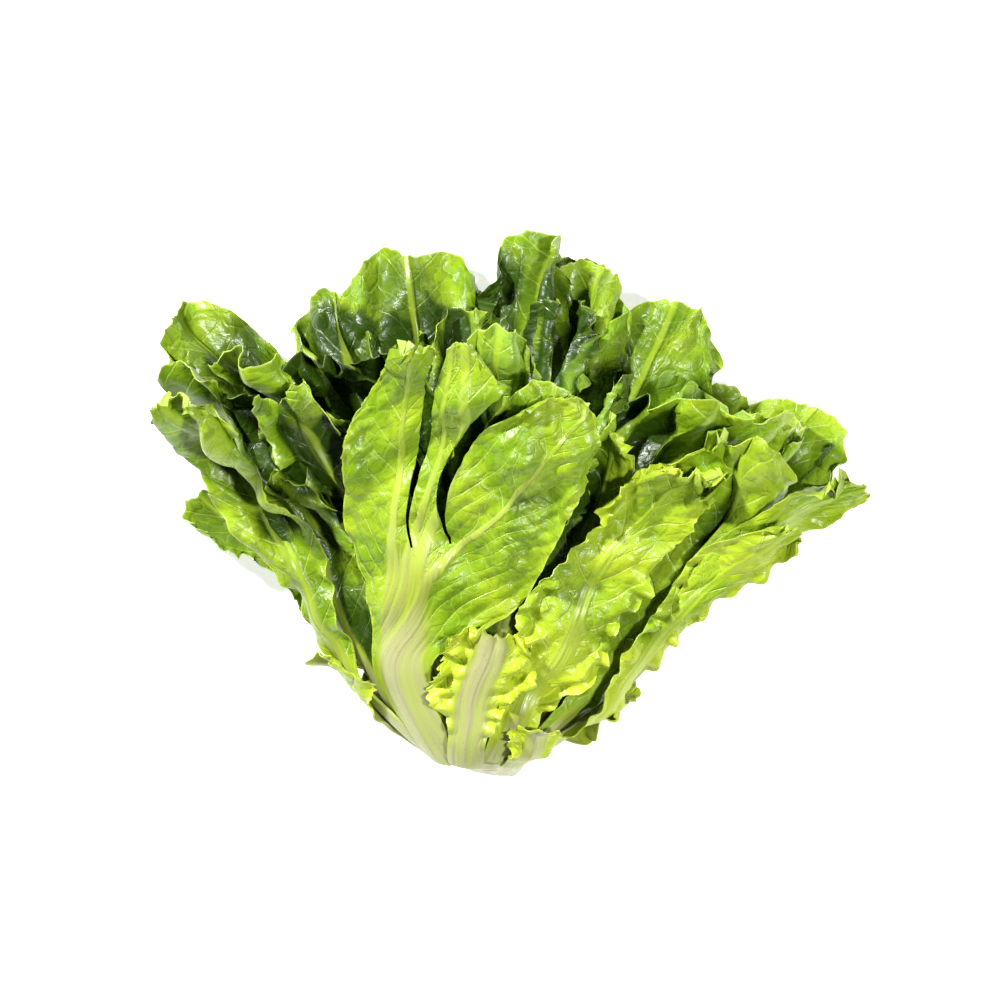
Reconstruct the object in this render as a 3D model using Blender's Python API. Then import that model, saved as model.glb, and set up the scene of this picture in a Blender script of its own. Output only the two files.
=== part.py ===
"""A head of escarole lying on its side, tips away from the cut stem.

Every leaf is one closed solid that rises from its own place in the leaf
spiral. Each leaf keeps to its own layer of the head, from 0 at the heart to
about 1 at the outside, so that neighbouring leaves nest without touching.
All lengths are in millimetres until the meshes are made.
"""
import math
import random

import bmesh
import bpy
import numpy as np

# Driving dimensions, millimetres and degrees
MM = 0.001
HEART_RING = 4.0            # radius of the leaf roots at the heart
RING_GROWTH = 21.0          # how much wider the roots of the outermost leaf stand
SPREAD = 0.72               # how fast the head opens with leaf length
COLLAR = 9.0                # quick opening just above the stem
COLLAR_LENGTH = 25.0
FLATTEN = 0.38              # height of the lying head against its width
FLATTEN_LENGTH = 35.0
SIDE_WIDENING = 0.18        # how far the lying head spreads sideways
ARCH = 0.76                 # shortening of leaves that lean outwards
WAVE_HEIGHT = 6.0           # height of the folds that run through all leaves
TILT = math.radians(13.0)   # the tips ride higher than the stem
LEAN = math.radians(6.0)    # the head leans to the right
BELLY = 0.5                 # how much flatter the underside is than the top
SAG = 6.9                   # how far the lower leaves sink towards the ground
GOLDEN_ANGLE = 137.508
FIRST_LEAF = 45.0
OUTER_LAYER = 1.04
LAYER_STEP = 0.76 / 41.0    # from one leaf to the next one in
ROOT_WIDTH = 0.31           # half width of a leaf root against its ring
BLADE = 0.85                # thickness of a leaf blade
ROOT_ZONE = (3.0, 22.0)     # over these lengths a leaf starts to grow square
RIB = 1.6                   # how much thicker the midrib is at its root
STALK_RIB = 2.6             # the same for the broad stalk in front
TOOTH = 1.6                 # depth of the cuts along a leaf's edge
STEM_GAP = 0.4              # clearance between the stem and the leaf roots
STEM_RADIUS = 24.5
STEM_LENGTH = 12.0
CUT_SLOPE = 0.42            # the knife went through at a slant
REST_DEPTH = 1.3            # how deep the lowest ribs are pressed flat
SAG_START, SAG_END = 15.0, 110.0    # the sag grows between these lengths
SAG_TOP = 18.0              # below this depth leaves sink by the whole sag
SAG_FADE = 60.0             # and above it they sink less and less
CALM = 0.75                 # how much smaller the folds are on the underside
BUNCH = 0.22                # folds stand closer at the sides of the head

# rank: (azimuth half way, azimuth at the tip, length, half width, layer nudge)
# rank counts from the outermost leaf; azimuth 0 is up, 90 is to the right
LEAVES = {
    0: (38, 32, 26, 12, 0),
    1: (-88, -80, 52, 20, 0),
    2: (112, 100, 47, 20, 0.4),
    3: (-4, 2, 66, 19, 0),
    4: (-124, -122, 138, 20, 0),
    5: (72, 62, 128, 30, 0),
    6: (-68, -46, 180, 30, 0),
    7: (166, 170, 183, 36, 0),
    8: (30, 32, 153, 33, 0.4),
    9: (-116, -120, 114, 20, 0),
    10: (88, 66, 178, 22, 0),
    12: (-168, -172, 192, 36, 0),
    13: (50, 42, 174, 34, -0.3),
    14: (-66, -52, 132, 24, 0),
    15: (130, 128, 184, 20, 0),
    16: (6, 6, 177, 22, 0),
    17: (-130, -125, 193, 28, 0),
    18: (90, 84, 77, 21, 0),
    19: (-44, -38, 174, 22, 0),
    20: (174, 174, 213, 26, 0),
    21: (28, 20, 165, 22, 0),
    22: (-86, -74, 191, 26, 0),
    23: (130, 136, 177, 28, 0),
    24: (-28, -36, 156, 22, 0),
    25: (-160, -161, 212, 30, 0),
    26: (84, 100, 178, 28, 0),
    27: (-60, -54, 189, 26, 0),
    28: (162, 167, 211, 20, 0),
    29: (40, 70, 183, 26, 0),
    30: (-130, -138, 189, 24, 0),
    31: (128, 146, 204, 27, 0),
    32: (-44, -52, 180, 24, 0),
    33: (-178, -182, 221, 15, -0.6),
    34: (48, 46, 177, 30, 0),
    35: (-118, -144, 180, 28, 0),
    36: (150, 162, 174, 18, 0),
    37: (-2, 0, 186, 26, 0),
    38: (-156, -168, 183, 20, 0),
    39: (108, 130, 171, 26, -0.3),
    40: (-46, -38, 177, 22, 0),
    41: (168, 170, 192, 18, 0),
}
# outlines of the leaves seen best: pairs of edge points from root to tip,
# each (left azimuth, left length, right azimuth, right length)
OUTLINES = {
    5: [(60, 26, 88, 26), (52, 48, 78, 50), (44, 86, 61, 87), (41, 118, 57, 112),
        (42, 140, 56, 131), (46, 148, 53, 144)],
    6: [(-84, 27, -62, 30), (-80, 60, -54, 63), (-70, 90, -46, 94), (-62, 120, -42, 122),
        (-56, 156, -42, 146), (-54, 174, -40, 165), (-49, 180, -42, 178)],
    8: [(9, 34, 33, 34), (8, 52, 44, 52), (10, 76, 40, 88), (14, 102, 36, 106),
        (19, 124, 37, 132), (22, 144, 35, 148), (25, 153, 31, 156)],
    10: [(88, 26, 114, 26), (70, 60, 94, 60), (54, 100, 74, 104), (47, 135, 61, 136),
         (49, 158, 66, 157), (56, 173, 70, 169)],
    13: [(44, 26, 72, 26), (48, 48, 80, 50), (36, 78, 70, 80), (31, 111, 60, 116),
         (29, 135, 57, 146), (28, 154, 47, 166), (33, 168, 40, 176)],
    21: [(26, 26, 42, 26), (16, 51, 35, 54), (15, 92, 32, 92), (15, 130, 29, 128),
         (14, 156, 25, 148), (15, 164, 21.5, 159)],
}
# the big leaf in front: one broad stalk, then three blades cut apart
FRONT_RANK = 11
FRONT_ROOT = (-50, 0, -24, 0)
FRONT_STALK = [(-56, 10, -20, 14), (-57, 28, -24, 30), (-52, 48, -18, 51), (-44, 62, -6, 59),
               (-40, 78, 8, 76), (-38, 93, 12, 96)]
# (first column, last column, edge stations above the split)
FRONT_BLADES = [
    (0, 4, [(-37, 106, -21, 106), (-31, 132, -17.5, 131), (-27, 156, -14.5, 162),
            (-23, 170, -12.5, 178), (-19, 182, -10.5, 188)]),
    (4, 6, [(-19, 108, -11, 109), (-16, 131, -10, 131), (-12, 162, -7, 160),
            (-10.5, 180, -5, 178), (-8, 194, -5.5, 195)]),
    (6, 11, [(-9, 109, 13, 112), (-7, 132, 15, 140), (-5, 154, 14, 158),
             (0, 164, 12.5, 166), (3, 171, 11, 172)]),
]
SLIT_TEETH = 0.25           # the edges of the slits are cut less deeply

# the heart: small leaves on one core (azimuth, length, half width, layer)
HEART = [
    (20, 150, 17, 0.215),
    (-118, 156, 17, 0.200),
    (105, 150, 16, 0.185),
    (-30, 146, 15, 0.165),
    (190, 152, 15, 0.140),
    (60, 138, 13, 0.115),
    (-80, 134, 12, 0.085),
]
# core of the heart (length, radius) and stem (share of length, share of radius)
CORE = [(0.0, 8.9), (8.0, 8.9), (18.0, 5.0), (26.0, 2.0)]
CORE_SEGMENTS = 16
STEM_PROFILE = [(0.0, 0.80), (0.0, 1.0), (0.35, 0.97), (0.75, 0.86), (1.0, 0.74)]
STEM_SEGMENTS = 24

# shape of a plain leaf
NECK = 0.32                 # width of the narrow part above the root
TIP_WIDTH = 0.78            # width of the tip
ROUNDING = 0.13             # how much shorter the edges are than the middle
BEND_LENGTH = 50.0          # leaves turn towards their places over this length
CAST_SHARE = 0.45           # narrowest lever that a leaf's width is laid over

# colours
PALE = (0.80, 0.79, 0.62, 1.0)
HEART_GREEN = (0.42, 0.52, 0.08, 1.0)
OUTER_GREEN = (0.16, 0.36, 0.03)
INNER_GREEN = (0.28, 0.46, 0.06)
ROUGHNESS = 0.4
SHARP = math.radians(50.0)  # faces that meet more steeply than this stay sharp

# starts of the random draws
FRONT_SEED = 900
HEART_SEED = 500

COLUMNS = np.array([-1.0, -0.6, -0.2, 0.0, 0.2, 0.6, 1.0])
NARROW_COLUMNS = np.array([-1.0, -0.3, 0.0, 0.3, 1.0])
ROWS = 10
SHORT_ROWS = 7
SHORT_LEAF = 90.0           # leaves under this length get the fewer rows
FRONT_ROWS = 8
FRONT_STALK_ROWS = 8
OUTLINE_ROWS = 12
OUTLINE_COLUMNS = 6
HEART_ROWS = 8


def smooth(x, lo, hi):
    """0 below lo, 1 above hi, with a soft step between."""
    s = np.clip((x - lo) / (hi - lo), 0.0, 1.0)
    return s * s * (3.0 - 2.0 * s)


def wave_terms(seed, count, degrees, length, layers):
    """Random sine terms over azimuth, length and layer."""
    draw = random.Random(seed)
    terms = []
    for _ in range(count):
        heading = draw.uniform(0.0, 2.0 * math.pi)
        around = max(1, round(360.0 / degrees * abs(math.cos(heading)) * draw.uniform(0.7, 1.3)))
        along = 2.0 * math.pi / length * math.sin(heading) * draw.uniform(0.7, 1.3)
        deep = 2.0 * math.pi / layers * draw.uniform(-1.0, 1.0)
        terms.append((around, along, deep, draw.uniform(0.0, 2.0 * math.pi)))
    return terms


WAVES = wave_terms(11, 9, 62.0, 95.0, 3.2)


def wave(a, t, c):
    """The folds that all leaves share, about -1 to 1."""
    total = 0.0
    for around, along, deep, phase in WAVES:
        total = total + np.sin(around * a + along * t + deep * c + phase)
    return total / math.sqrt(len(WAVES) / 2.0) / 1.6


def ring(c):
    """Radius of the root circle of layer c."""
    return HEART_RING + RING_GROWTH * c


def share(c):
    """How much of the head's opening layer c takes part in."""
    return np.power(np.maximum(c, 0.02), 0.6)


def flare(t):
    """How far the outermost layer has opened at length t."""
    return SPREAD * t + COLLAR * (1.0 - np.exp(-t / COLLAR_LENGTH))


def squash(t):
    """Height against width of the head at length t."""
    return FLATTEN + (1.0 - FLATTEN) * np.exp(-t / FLATTEN_LENGTH)


def widen(t):
    """Extra sideways spread at length t."""
    return 1.0 + SIDE_WIDENING * smooth(t, 30.0, 160.0)


def head_point(a, t, c):
    """Place of azimuth a, length t and layer c in the lying head."""
    k = squash(t)
    s = share(c)
    r = ring(c) + s * flare(t)
    calm = 1.0 - CALM * smooth(-np.cos(a), 0.2, 0.9) * smooth(c, 0.45, 0.9)
    even = a + BUNCH * np.sin(2.0 * a)
    fold = WAVE_HEIGHT * (1.0 + 0.6 * np.sin(a) ** 2) * smooth(t, 35.0, 130.0) * calm
    fold = fold * np.minimum(r / 110.0, 1.2) * wave(even, t, c)
    ex = k * np.sin(a)
    ez = np.cos(a)
    en = np.sqrt(ex * ex + ez * ez)
    slant = ARCH * s * np.sqrt(np.sin(a) ** 2 + (k * np.cos(a)) ** 2)
    x = r * widen(t) * np.sin(a) + fold * ex / en
    y = t * np.sqrt(np.clip(1.0 - slant ** 2, 0.05, 1.0))
    level = np.cos(a)
    level = np.where(level < 0.0, level * (1.0 + BELLY + BELLY * level), level)
    z = r * k * level + fold * ez / en
    return turn(np.stack([x, y, z], -1))


def turn(p):
    """Tilt the head up at the tips and lean it to the right."""
    x, y, z = p[..., 0], p[..., 1], p[..., 2]
    ct, st = math.cos(TILT), math.sin(TILT)
    y, z = y * ct - z * st, y * st + z * ct
    cl, sl = math.cos(LEAN), math.sin(LEAN)
    x, y = x * cl + y * sl, -x * sl + y * cl
    drop = SAG * smooth(y, SAG_START, SAG_END)
    return np.stack([x, y, z - drop * np.exp(-(z + SAG_TOP) / SAG_FADE)], -1)


def root_azimuth(rank):
    """Azimuth of a leaf's root in the spiral, from -180 to 180."""
    return (FIRST_LEAF - GOLDEN_ANGLE * rank + 180.0) % 360.0 - 180.0


def near(angle, other):
    """The same direction as angle, counted close to other."""
    return angle + 360.0 * round((other - angle) / 360.0)


def layer_of(rank, nudge=0.0):
    """Layer of a leaf; a nudge moves it outwards by parts of a step."""
    return OUTER_LAYER - LAYER_STEP * (rank - nudge)


def half_width(u, c, width):
    """Half width of a leaf at share u of its length."""
    root = ROOT_WIDTH * ring(c)
    neck = max(root, NECK * width)
    w = root + (neck - root) * smooth(u, 0.0, 0.25)
    w = w + (width - neck) * smooth(u, 0.16, 0.70)
    return w - (1.0 - TIP_WIDTH) * width * smooth(u, 0.84, 1.0)


def leaf_path(u, v, c, root, middle, tip, length, width):
    """Azimuth and length over a leaf; v runs from edge to edge."""
    t = length * u * (1.0 - ROUNDING * np.abs(v) ** 2.2 * smooth(u, 0.35, 1.0))
    q = half_width(u, c, width) * v
    root, middle, tip = (math.radians(x) for x in (root, near(middle, root), near(tip, root)))
    half = min(BEND_LENGTH, 0.4 * length)
    a = root + (middle - root) * smooth(t, 0.0, half)
    a = a + (tip - middle) * smooth(t, half, min(2.6 * half, 0.9 * length))
    r = ring(c) + share(c) * flare(t)
    steps = 10
    for _ in range(steps):
        lever = r * np.sqrt(np.cos(a) ** 2 + (squash(t) * np.sin(a)) ** 2)
        a = a + (q / steps) / np.maximum(lever, CAST_SHARE * r)
    return a, t


def tooth_depth(u):
    """Share of the full cuts at share u of a leaf: none at its stalk or tip."""
    return smooth(u, 0.25, 0.6) * (1.0 - smooth(u, 0.72, 0.92))


def edge_cut(index, along, seed):
    """Shift of one edge point: every second one goes out, the others in."""
    draw = random.Random(seed * 1000 + index)
    side = 1.0 if index % 2 else -1.0
    return TOOTH * side * draw.uniform(0.5, 1.3) * along


def leaf_surface(c, root, middle, tip, length, width, rows, columns, seed):
    """Places over a leaf: a grid, then each long edge with twice the points."""
    us = np.linspace(0.0, 1.0, rows + 1) ** 0.92
    fine = np.interp(np.linspace(0.0, rows, 2 * rows + 1), np.arange(rows + 1), us)
    points = []
    for i, u in enumerate(us):
        for v in columns[1:-1]:
            cut = edge_cut(len(points), 1.0, seed + 7) if i == rows else 0.0
            points.append((u, v, cut))
    for v_edge in (-1.0, 1.0):
        for i, u in enumerate(fine):
            cut = edge_cut(i, tooth_depth(u), seed + int(v_edge > 0))
            points.append((u, v_edge * (1.0 + cut / width), 0.0))
    u, v, cut = np.array(points).T
    a, t = leaf_path(u, v, c, root, middle, tip, length, width)
    return a, np.maximum(t + cut, 0.0), u, v


def leaf_triangles(rows, columns):
    """Triangles of one face of the leaf grid."""
    inner = len(columns) - 2
    left = (rows + 1) * inner
    right = left + 2 * rows + 1

    def at(i, j):
        return i * inner + j

    tris = []
    for i in range(rows):
        for j in range(inner - 1):
            p, q, r, s = at(i, j), at(i + 1, j), at(i + 1, j + 1), at(i, j + 1)
            if (i + j) % 2:
                tris += [(p, q, r), (p, r, s)]
            else:
                tris += [(p, q, s), (q, r, s)]
        m = left + 2 * i
        p, q = at(i, 0), at(i + 1, 0)
        tris += [(p, m, m + 1), (p, m + 1, q), (q, m + 1, m + 2)]
        m = right + 2 * i
        p, q = at(i, inner - 1), at(i + 1, inner - 1)
        tris += [(p, m + 1, m), (p, q, m + 1), (q, m + 2, m + 1)]
    return tris


def thicken(a, t, c, rib, tris):
    """Closed solid from one face: both sides and the band round every edge.

    A root keeps to its plane above the stem; the blade grows square to itself.
    """
    mid = head_point(a, t, c)
    small = 0.01
    deeper = (head_point(a, t, c + small) - mid) / small
    n = np.cross(head_point(a + 0.001, t, c) - mid, head_point(a, t + 0.05, c) - mid)
    n /= np.linalg.norm(n, axis=-1, keepdims=True)
    scale = (deeper * n).sum(-1)
    n = n * np.sign(scale)[:, None]
    square = smooth(t, *ROOT_ZONE)[:, None]
    faces_out = []
    for offset in (0.5 * BLADE + 0.7 * rib, -0.5 * BLADE - 0.3 * rib):
        level = head_point(a, t, c + offset / np.abs(scale))
        faces_out.append(level + square * (mid + n * offset[:, None] - level))
    outer, inner = faces_out
    count = len(mid)
    faces = []
    edges = set()
    for tri in tris:
        faces.append(tri)
        faces.append(tuple(p + count for p in reversed(tri)))
        edges.update(zip(tri, tri[1:] + tri[:1]))
    for p, q in sorted(edges):
        if (q, p) not in edges:
            faces.append((q, p, p + count))
            faces.append((q, p + count, q + count))
    return np.concatenate([outer, inner]), faces


def leaf_solid(c, root, middle, tip, length, width, rows, columns, seed):
    """One plain leaf, its midrib thickest at the root."""
    a, t, u, v = leaf_surface(c, root, middle, tip, length, width, rows, columns, seed)
    rib = RIB * (1.0 - 0.75 * smooth(u, 0.0, 0.8)) * np.exp(-(v / 0.3) ** 2)
    return thicken(a, t, c, rib, leaf_triangles(rows, columns))


def colour(rank):
    """Leaves pale from grass green outside to yellow green at the heart."""
    s = rank / max(LEAVES)
    return tuple(p + (q - p) * s for p, q in zip(OUTER_GREEN, INNER_GREEN)) + (1.0,)


def make_material(name, rgba):
    mat = bpy.data.materials.new(name)
    mat.use_nodes = True
    shader = mat.node_tree.nodes["Principled BSDF"]
    shader.inputs["Base Color"].default_value = rgba
    shader.inputs["Roughness"].default_value = ROUGHNESS
    mat.diffuse_color = rgba
    return mat


def make_object(name, verts, faces, rgba):
    """Mesh object from millimetre points, faces turned outwards."""
    mesh = bpy.data.meshes.new(name)
    mesh.from_pydata([tuple(p * MM) for p in verts], [], faces)
    bm = bmesh.new()
    bm.from_mesh(mesh)
    bmesh.ops.recalc_face_normals(bm, faces=bm.faces)
    if bm.calc_volume(signed=True) < 0.0:
        bmesh.ops.reverse_faces(bm, faces=bm.faces)
    bm.to_mesh(mesh)
    bm.free()
    mesh.shade_smooth()
    mesh.set_sharp_from_angle(angle=SHARP)
    mesh.materials.append(make_material(name, rgba))
    obj = bpy.data.objects.new(name, mesh)
    bpy.context.scene.collection.objects.link(obj)
    return obj


def fuse(target, others):
    """Join closed solids into one body with a single union, then drop them."""
    helpers = bpy.data.collections.new("helpers")
    for other in others:
        helpers.objects.link(other)
    mod = target.modifiers.new("join", "BOOLEAN")
    mod.operation = "UNION"
    mod.solver = "MANIFOLD"
    mod.operand_type = "COLLECTION"
    mod.collection = helpers
    bpy.context.view_layer.update()
    graph = bpy.context.evaluated_depsgraph_get()
    mesh = bpy.data.meshes.new_from_object(target.evaluated_get(graph))
    target.modifiers.clear()
    target.data = mesh
    for other in others:
        bpy.data.objects.remove(other, do_unlink=True)
    bpy.data.collections.remove(helpers)
    bm = bmesh.new()
    bm.from_mesh(mesh)
    bmesh.ops.triangulate(bm, faces=bm.faces)
    bm.to_mesh(mesh)
    bm.free()
    mesh.set_sharp_from_angle(angle=SHARP)


def cone_rings(rings, segments):
    """Closed solid from rings of points, capped at both ends."""
    verts = [p for one in rings for p in one]
    faces = []
    for i in range(len(rings) - 1):
        for j in range(segments):
            k = (j + 1) % segments
            p, q = i * segments + j, i * segments + k
            faces.append((p, q, q + segments))
            faces.append((p, q + segments, p + segments))
    for i, order in ((0, 1), (len(rings) - 1, -1)):
        hub = len(verts)
        verts.append(np.mean(rings[i], axis=0))
        for j in range(segments):
            k = (j + 1) % segments
            pair = (i * segments + j, i * segments + k)
            faces.append((hub,) + pair[::order])
    return np.array(verts), faces


def build_stem():
    """The short cut stem behind the leaf roots."""
    rings = []
    for depth, radius in STEM_PROFILE:
        one = []
        for j in range(STEM_SEGMENTS):
            a = 2.0 * math.pi * j / STEM_SEGMENTS
            wobble = 1.0 + 0.035 * math.sin(3.0 * a + 0.6) + 0.02 * math.sin(7.0 * a)
            r = STEM_RADIUS * radius * wobble
            x = r * math.sin(a)
            z = r * math.cos(a)
            y = -STEM_GAP - depth * (STEM_LENGTH - CUT_SLOPE * z)
            one.append(turn(np.array([x, y, z])))
        rings.append(one)
    verts, faces = cone_rings(rings, STEM_SEGMENTS)
    return make_object("stem", verts, faces, PALE)


def build_heart():
    """Small inner leaves on one core."""
    rings = []
    for y, radius in CORE:
        one = []
        for j in range(CORE_SEGMENTS):
            a = 2.0 * math.pi * j / CORE_SEGMENTS
            one.append(turn(np.array([radius * math.sin(a), y, radius * math.cos(a)])))
        rings.append(one)
    verts, faces = cone_rings(rings, CORE_SEGMENTS)
    heart = make_object("heart", verts, faces, HEART_GREEN)
    helpers = []
    for i, (azimuth, length, width, c) in enumerate(HEART):
        verts, faces = leaf_solid(c, azimuth, azimuth, azimuth, length, width,
                                  HEART_ROWS, NARROW_COLUMNS, HEART_SEED + 10 * i)
        verts = verts + turn(np.array([0.0, 1.0, 0.0]))
        helpers.append(make_object("heart_leaf", verts, faces, HEART_GREEN))
    fuse(heart, helpers)
    return heart


def build_leaf(rank):
    """A leaf of plain outline."""
    middle, tip, length, width, nudge = LEAVES[rank]
    short = length < SHORT_LEAF
    rows = SHORT_ROWS if short else ROWS
    columns = NARROW_COLUMNS if short else COLUMNS
    verts, faces = leaf_solid(layer_of(rank, nudge), root_azimuth(rank), middle, tip, length, width,
                              rows, columns, 10 * rank)
    return make_object(f"leaf_{rank + 1:02d}", verts, faces, colour(rank))


def station_rows(stations, rows):
    """Edge stations spread evenly over the wanted number of rows."""
    table = np.array(stations, dtype=float)
    reach = 0.5 * (table[:, 1] + table[:, 3])
    reach = np.maximum.accumulate(reach + 0.01 * np.arange(len(reach)))
    wanted = np.linspace(reach[0], reach[-1], rows + 1)
    return np.stack([np.interp(wanted, reach, table[:, k]) for k in range(4)], 1)


def span_points(station, columns, seed, along, last, depth=1.0):
    """Points from the left edge to the right one; the ends carry the cuts."""
    left, low, right, high = station
    points = []
    for j in range(columns + 1):
        s = j / columns
        a = math.radians(left + (right - left) * s)
        t = low + (high - low) * s
        bulge = 4.0 * s * (1.0 - s)
        if last:
            t += edge_cut(j, depth * bulge, seed + 7)
        elif j in (0, columns):
            shift = edge_cut(seed % 97 + int(along * 40), depth * tooth_depth(along), seed + j)
            a += (1.0 if j else -1.0) * shift / (20.0 + 0.8 * t)
        points.append((a, t + 0.03 * t * bulge * along, bulge))
    return points


def grid_triangles(below, row):
    """Strip of triangles between two rows of points."""
    tris = []
    for j in range(len(row) - 1):
        if j % 2:
            tris += [(below[j], row[j], row[j + 1]), (below[j], row[j + 1], below[j + 1])]
        else:
            tris += [(below[j], row[j], below[j + 1]), (row[j], row[j + 1], below[j + 1])]
    return tris


def build_outlined_leaf(rank):
    """A leaf whose edges follow its measured outline."""
    nudge = LEAVES[rank][4]
    c = layer_of(rank, nudge)
    root = root_azimuth(rank)
    spread = math.degrees(ROOT_WIDTH)
    stations = station_rows([(root - spread, 0, root + spread, 0)] + OUTLINES[rank], OUTLINE_ROWS)
    points = []
    tris = []
    below = []
    for i, station in enumerate(stations):
        row = [len(points) + j for j in range(OUTLINE_COLUMNS + 1)]
        points += span_points(station, OUTLINE_COLUMNS, 10 * rank, i / OUTLINE_ROWS,
                              i == OUTLINE_ROWS)
        if below:
            tris += grid_triangles(below, row)
        below = row
    p = np.array(points)
    along = p[:, 1] / p[:, 1].max()
    rib = RIB * (1.0 - 0.75 * smooth(along, 0.0, 0.8)) * p[:, 2] ** 4
    verts, faces = thicken(p[:, 0], p[:, 1], c, rib, tris)
    return make_object(f"leaf_{rank + 1:02d}", verts, faces, colour(rank))


def build_front_leaf():
    """One wide stalk that carries three blades, cut apart above the split."""
    c = layer_of(FRONT_RANK)
    columns = FRONT_BLADES[-1][1]
    points = []
    tris = []
    below = []
    stalk = station_rows([FRONT_ROOT] + FRONT_STALK, FRONT_STALK_ROWS)
    for i, station in enumerate(stalk):
        row = [len(points) + j for j in range(columns + 1)]
        for a, t, bulge in span_points(station, columns, FRONT_SEED, 0.0, False):
            swell = (0.35 + 0.65 * smooth(t, 6.0, 40.0)) * (1.0 - 0.6 * smooth(t, 50.0, 96.0))
            points.append((a, t, STALK_RIB * swell * bulge ** 1.5))
        if below:
            tris += grid_triangles(below, row)
        below = row
    top = below
    for k, (first, last, stations) in enumerate(FRONT_BLADES):
        below = top[first:last + 1]
        rows = station_rows(stations, FRONT_ROWS - 1)
        for i, station in enumerate(rows):
            row = [len(points) + j for j in range(last - first + 1)]
            along = 0.5 + 0.5 * i / FRONT_ROWS
            for a, t, bulge in span_points(station, last - first, FRONT_SEED + 10 + 20 * k,
                                           along, i == FRONT_ROWS - 1, SLIT_TEETH):
                points.append((a, t, 0.5 * RIB * bulge ** 3 * (1.0 - i / FRONT_ROWS)))
            tris += grid_triangles(below, row)
            below = row
    p = np.array(points)
    verts, faces = thicken(p[:, 0], p[:, 1], c, p[:, 2], tris)
    return make_object(f"leaf_{FRONT_RANK + 1:02d}", verts, faces, colour(FRONT_RANK))


def settle(objects):
    """Centre the head, set it on the ground and press its lowest leaves flat."""
    points = [np.array([v.co for v in obj.data.vertices]) for obj in objects]
    low = np.min([p.min(axis=0) for p in points], axis=0)
    high = np.max([p.max(axis=0) for p in points], axis=0)
    shift = -0.5 * (low + high)
    shift[2] = -low[2] - REST_DEPTH * MM
    for obj, p in zip(objects, points):
        p = p + shift
        lift = np.maximum(-p[:, 2], 0.0)
        if obj.name.startswith("leaf"):
            half = len(p) // 2
            both = np.maximum(lift[:half], lift[half:])
            lift = np.concatenate([both, both])
        p[:, 2] += lift
        for v, co in zip(obj.data.vertices, p):
            v.co = co


def main():
    """Clear the file and build every piece."""
    for obj in list(bpy.data.objects):
        bpy.data.objects.remove(obj, do_unlink=True)
    objects = [build_stem(), build_heart(), build_front_leaf()]
    for rank in LEAVES:
        if rank in OUTLINES:
            objects.append(build_outlined_leaf(rank))
        else:
            objects.append(build_leaf(rank))
    settle(objects)


main()
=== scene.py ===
# %% [markdown]
# # A head of escarole on a pale table
#
# Escarole is a loose head of broad, crinkled leaves that grow in a spiral from a short stem. Each leaf
# is rebuilt here as a fine sheet that follows the plain solid of the packed part, with the folds,
# teeth, veins and wet shine that the plain solid leaves out.

# %% Load the packed part
import math
import random
from types import SimpleNamespace

import bmesh
import bpy
import numpy as np
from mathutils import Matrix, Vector


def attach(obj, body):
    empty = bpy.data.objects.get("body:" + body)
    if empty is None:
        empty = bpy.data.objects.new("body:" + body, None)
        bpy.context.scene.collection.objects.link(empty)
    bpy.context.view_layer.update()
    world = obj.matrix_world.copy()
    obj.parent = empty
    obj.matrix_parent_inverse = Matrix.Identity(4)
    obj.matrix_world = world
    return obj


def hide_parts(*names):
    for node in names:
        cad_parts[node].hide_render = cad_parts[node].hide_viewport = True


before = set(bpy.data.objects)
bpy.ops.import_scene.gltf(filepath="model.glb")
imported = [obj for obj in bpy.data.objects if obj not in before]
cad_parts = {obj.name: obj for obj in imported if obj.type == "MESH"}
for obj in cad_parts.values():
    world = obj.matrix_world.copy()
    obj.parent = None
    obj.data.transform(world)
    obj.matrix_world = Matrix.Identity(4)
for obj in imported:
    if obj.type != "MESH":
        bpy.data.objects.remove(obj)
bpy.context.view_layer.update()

# %% [markdown]
# The photograph looks straight down from far away, so a long lens high above the middle of the head gives
# the same flat view. A short lens near the head would make its top leaves too large. The camera comes
# first, because everything is judged through it.

# %% Camera
PICTURE_WIDTH = 0.42        # metres of table that the picture is wide
CAMERA_HEIGHT = 3.0
LOOK_HEIGHT = 0.06          # height in the head that the picture's scale is true for
CENTRE_X, CENTRE_Y = -0.0053, 0.0025

camera_data = bpy.data.cameras.new("camera")
camera_data.sensor_width = 36.0
camera_data.lens = 36.0 * (CAMERA_HEIGHT - LOOK_HEIGHT) / PICTURE_WIDTH
camera = bpy.data.objects.new("camera", camera_data)
camera.location = (CENTRE_X, CENTRE_Y, CAMERA_HEIGHT)
bpy.context.scene.collection.objects.link(camera)
bpy.context.scene.camera = camera
print("camera lens, millimetres:", round(camera_data.lens))

# %% [markdown]
# The head is soft and lies on its side, so it is wider than high. One map gives the place of any point of
# any leaf: its azimuth round the stem, its length from the root and its layer from the heart outwards.
# Leaves could be bent and placed one by one, but those of different layers nest by themselves when they
# share one map. These are the map's measures.

# %% Measures of the head
MM = 0.001
HEART_RING, RING_GROWTH = 4.0, 21.0                 # radius at the root: of the heart, and added outwards
SPREAD, COLLAR, COLLAR_LENGTH = 0.72, 9.0, 25.0     # how fast the rings open, with a quick start
FLATTEN, FLATTEN_LENGTH = 0.38, 35.0                # height against width, and over what length
SIDE_WIDENING, ARCH = 0.18, 0.76                    # wider at the sides; outer leaves lean out
WAVE_HEIGHT, CALM, BUNCH = 6.0, 0.75, 0.22          # slow folds, calm underneath, evenly spaced
TILT, LEAN = math.radians(13.0), math.radians(6.0)
BELLY, SAG = 0.5, 6.9                               # flatter underneath, and how far the lower leaves drop
SAG_START, SAG_END, SAG_TOP, SAG_FADE = 15.0, 110.0, 18.0, 60.0
SHIFT = np.array([-15.731, -102.531, 25.853])   # from the root of the head to the middle of its box
CIRCLE = 2.0 * math.pi


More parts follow.
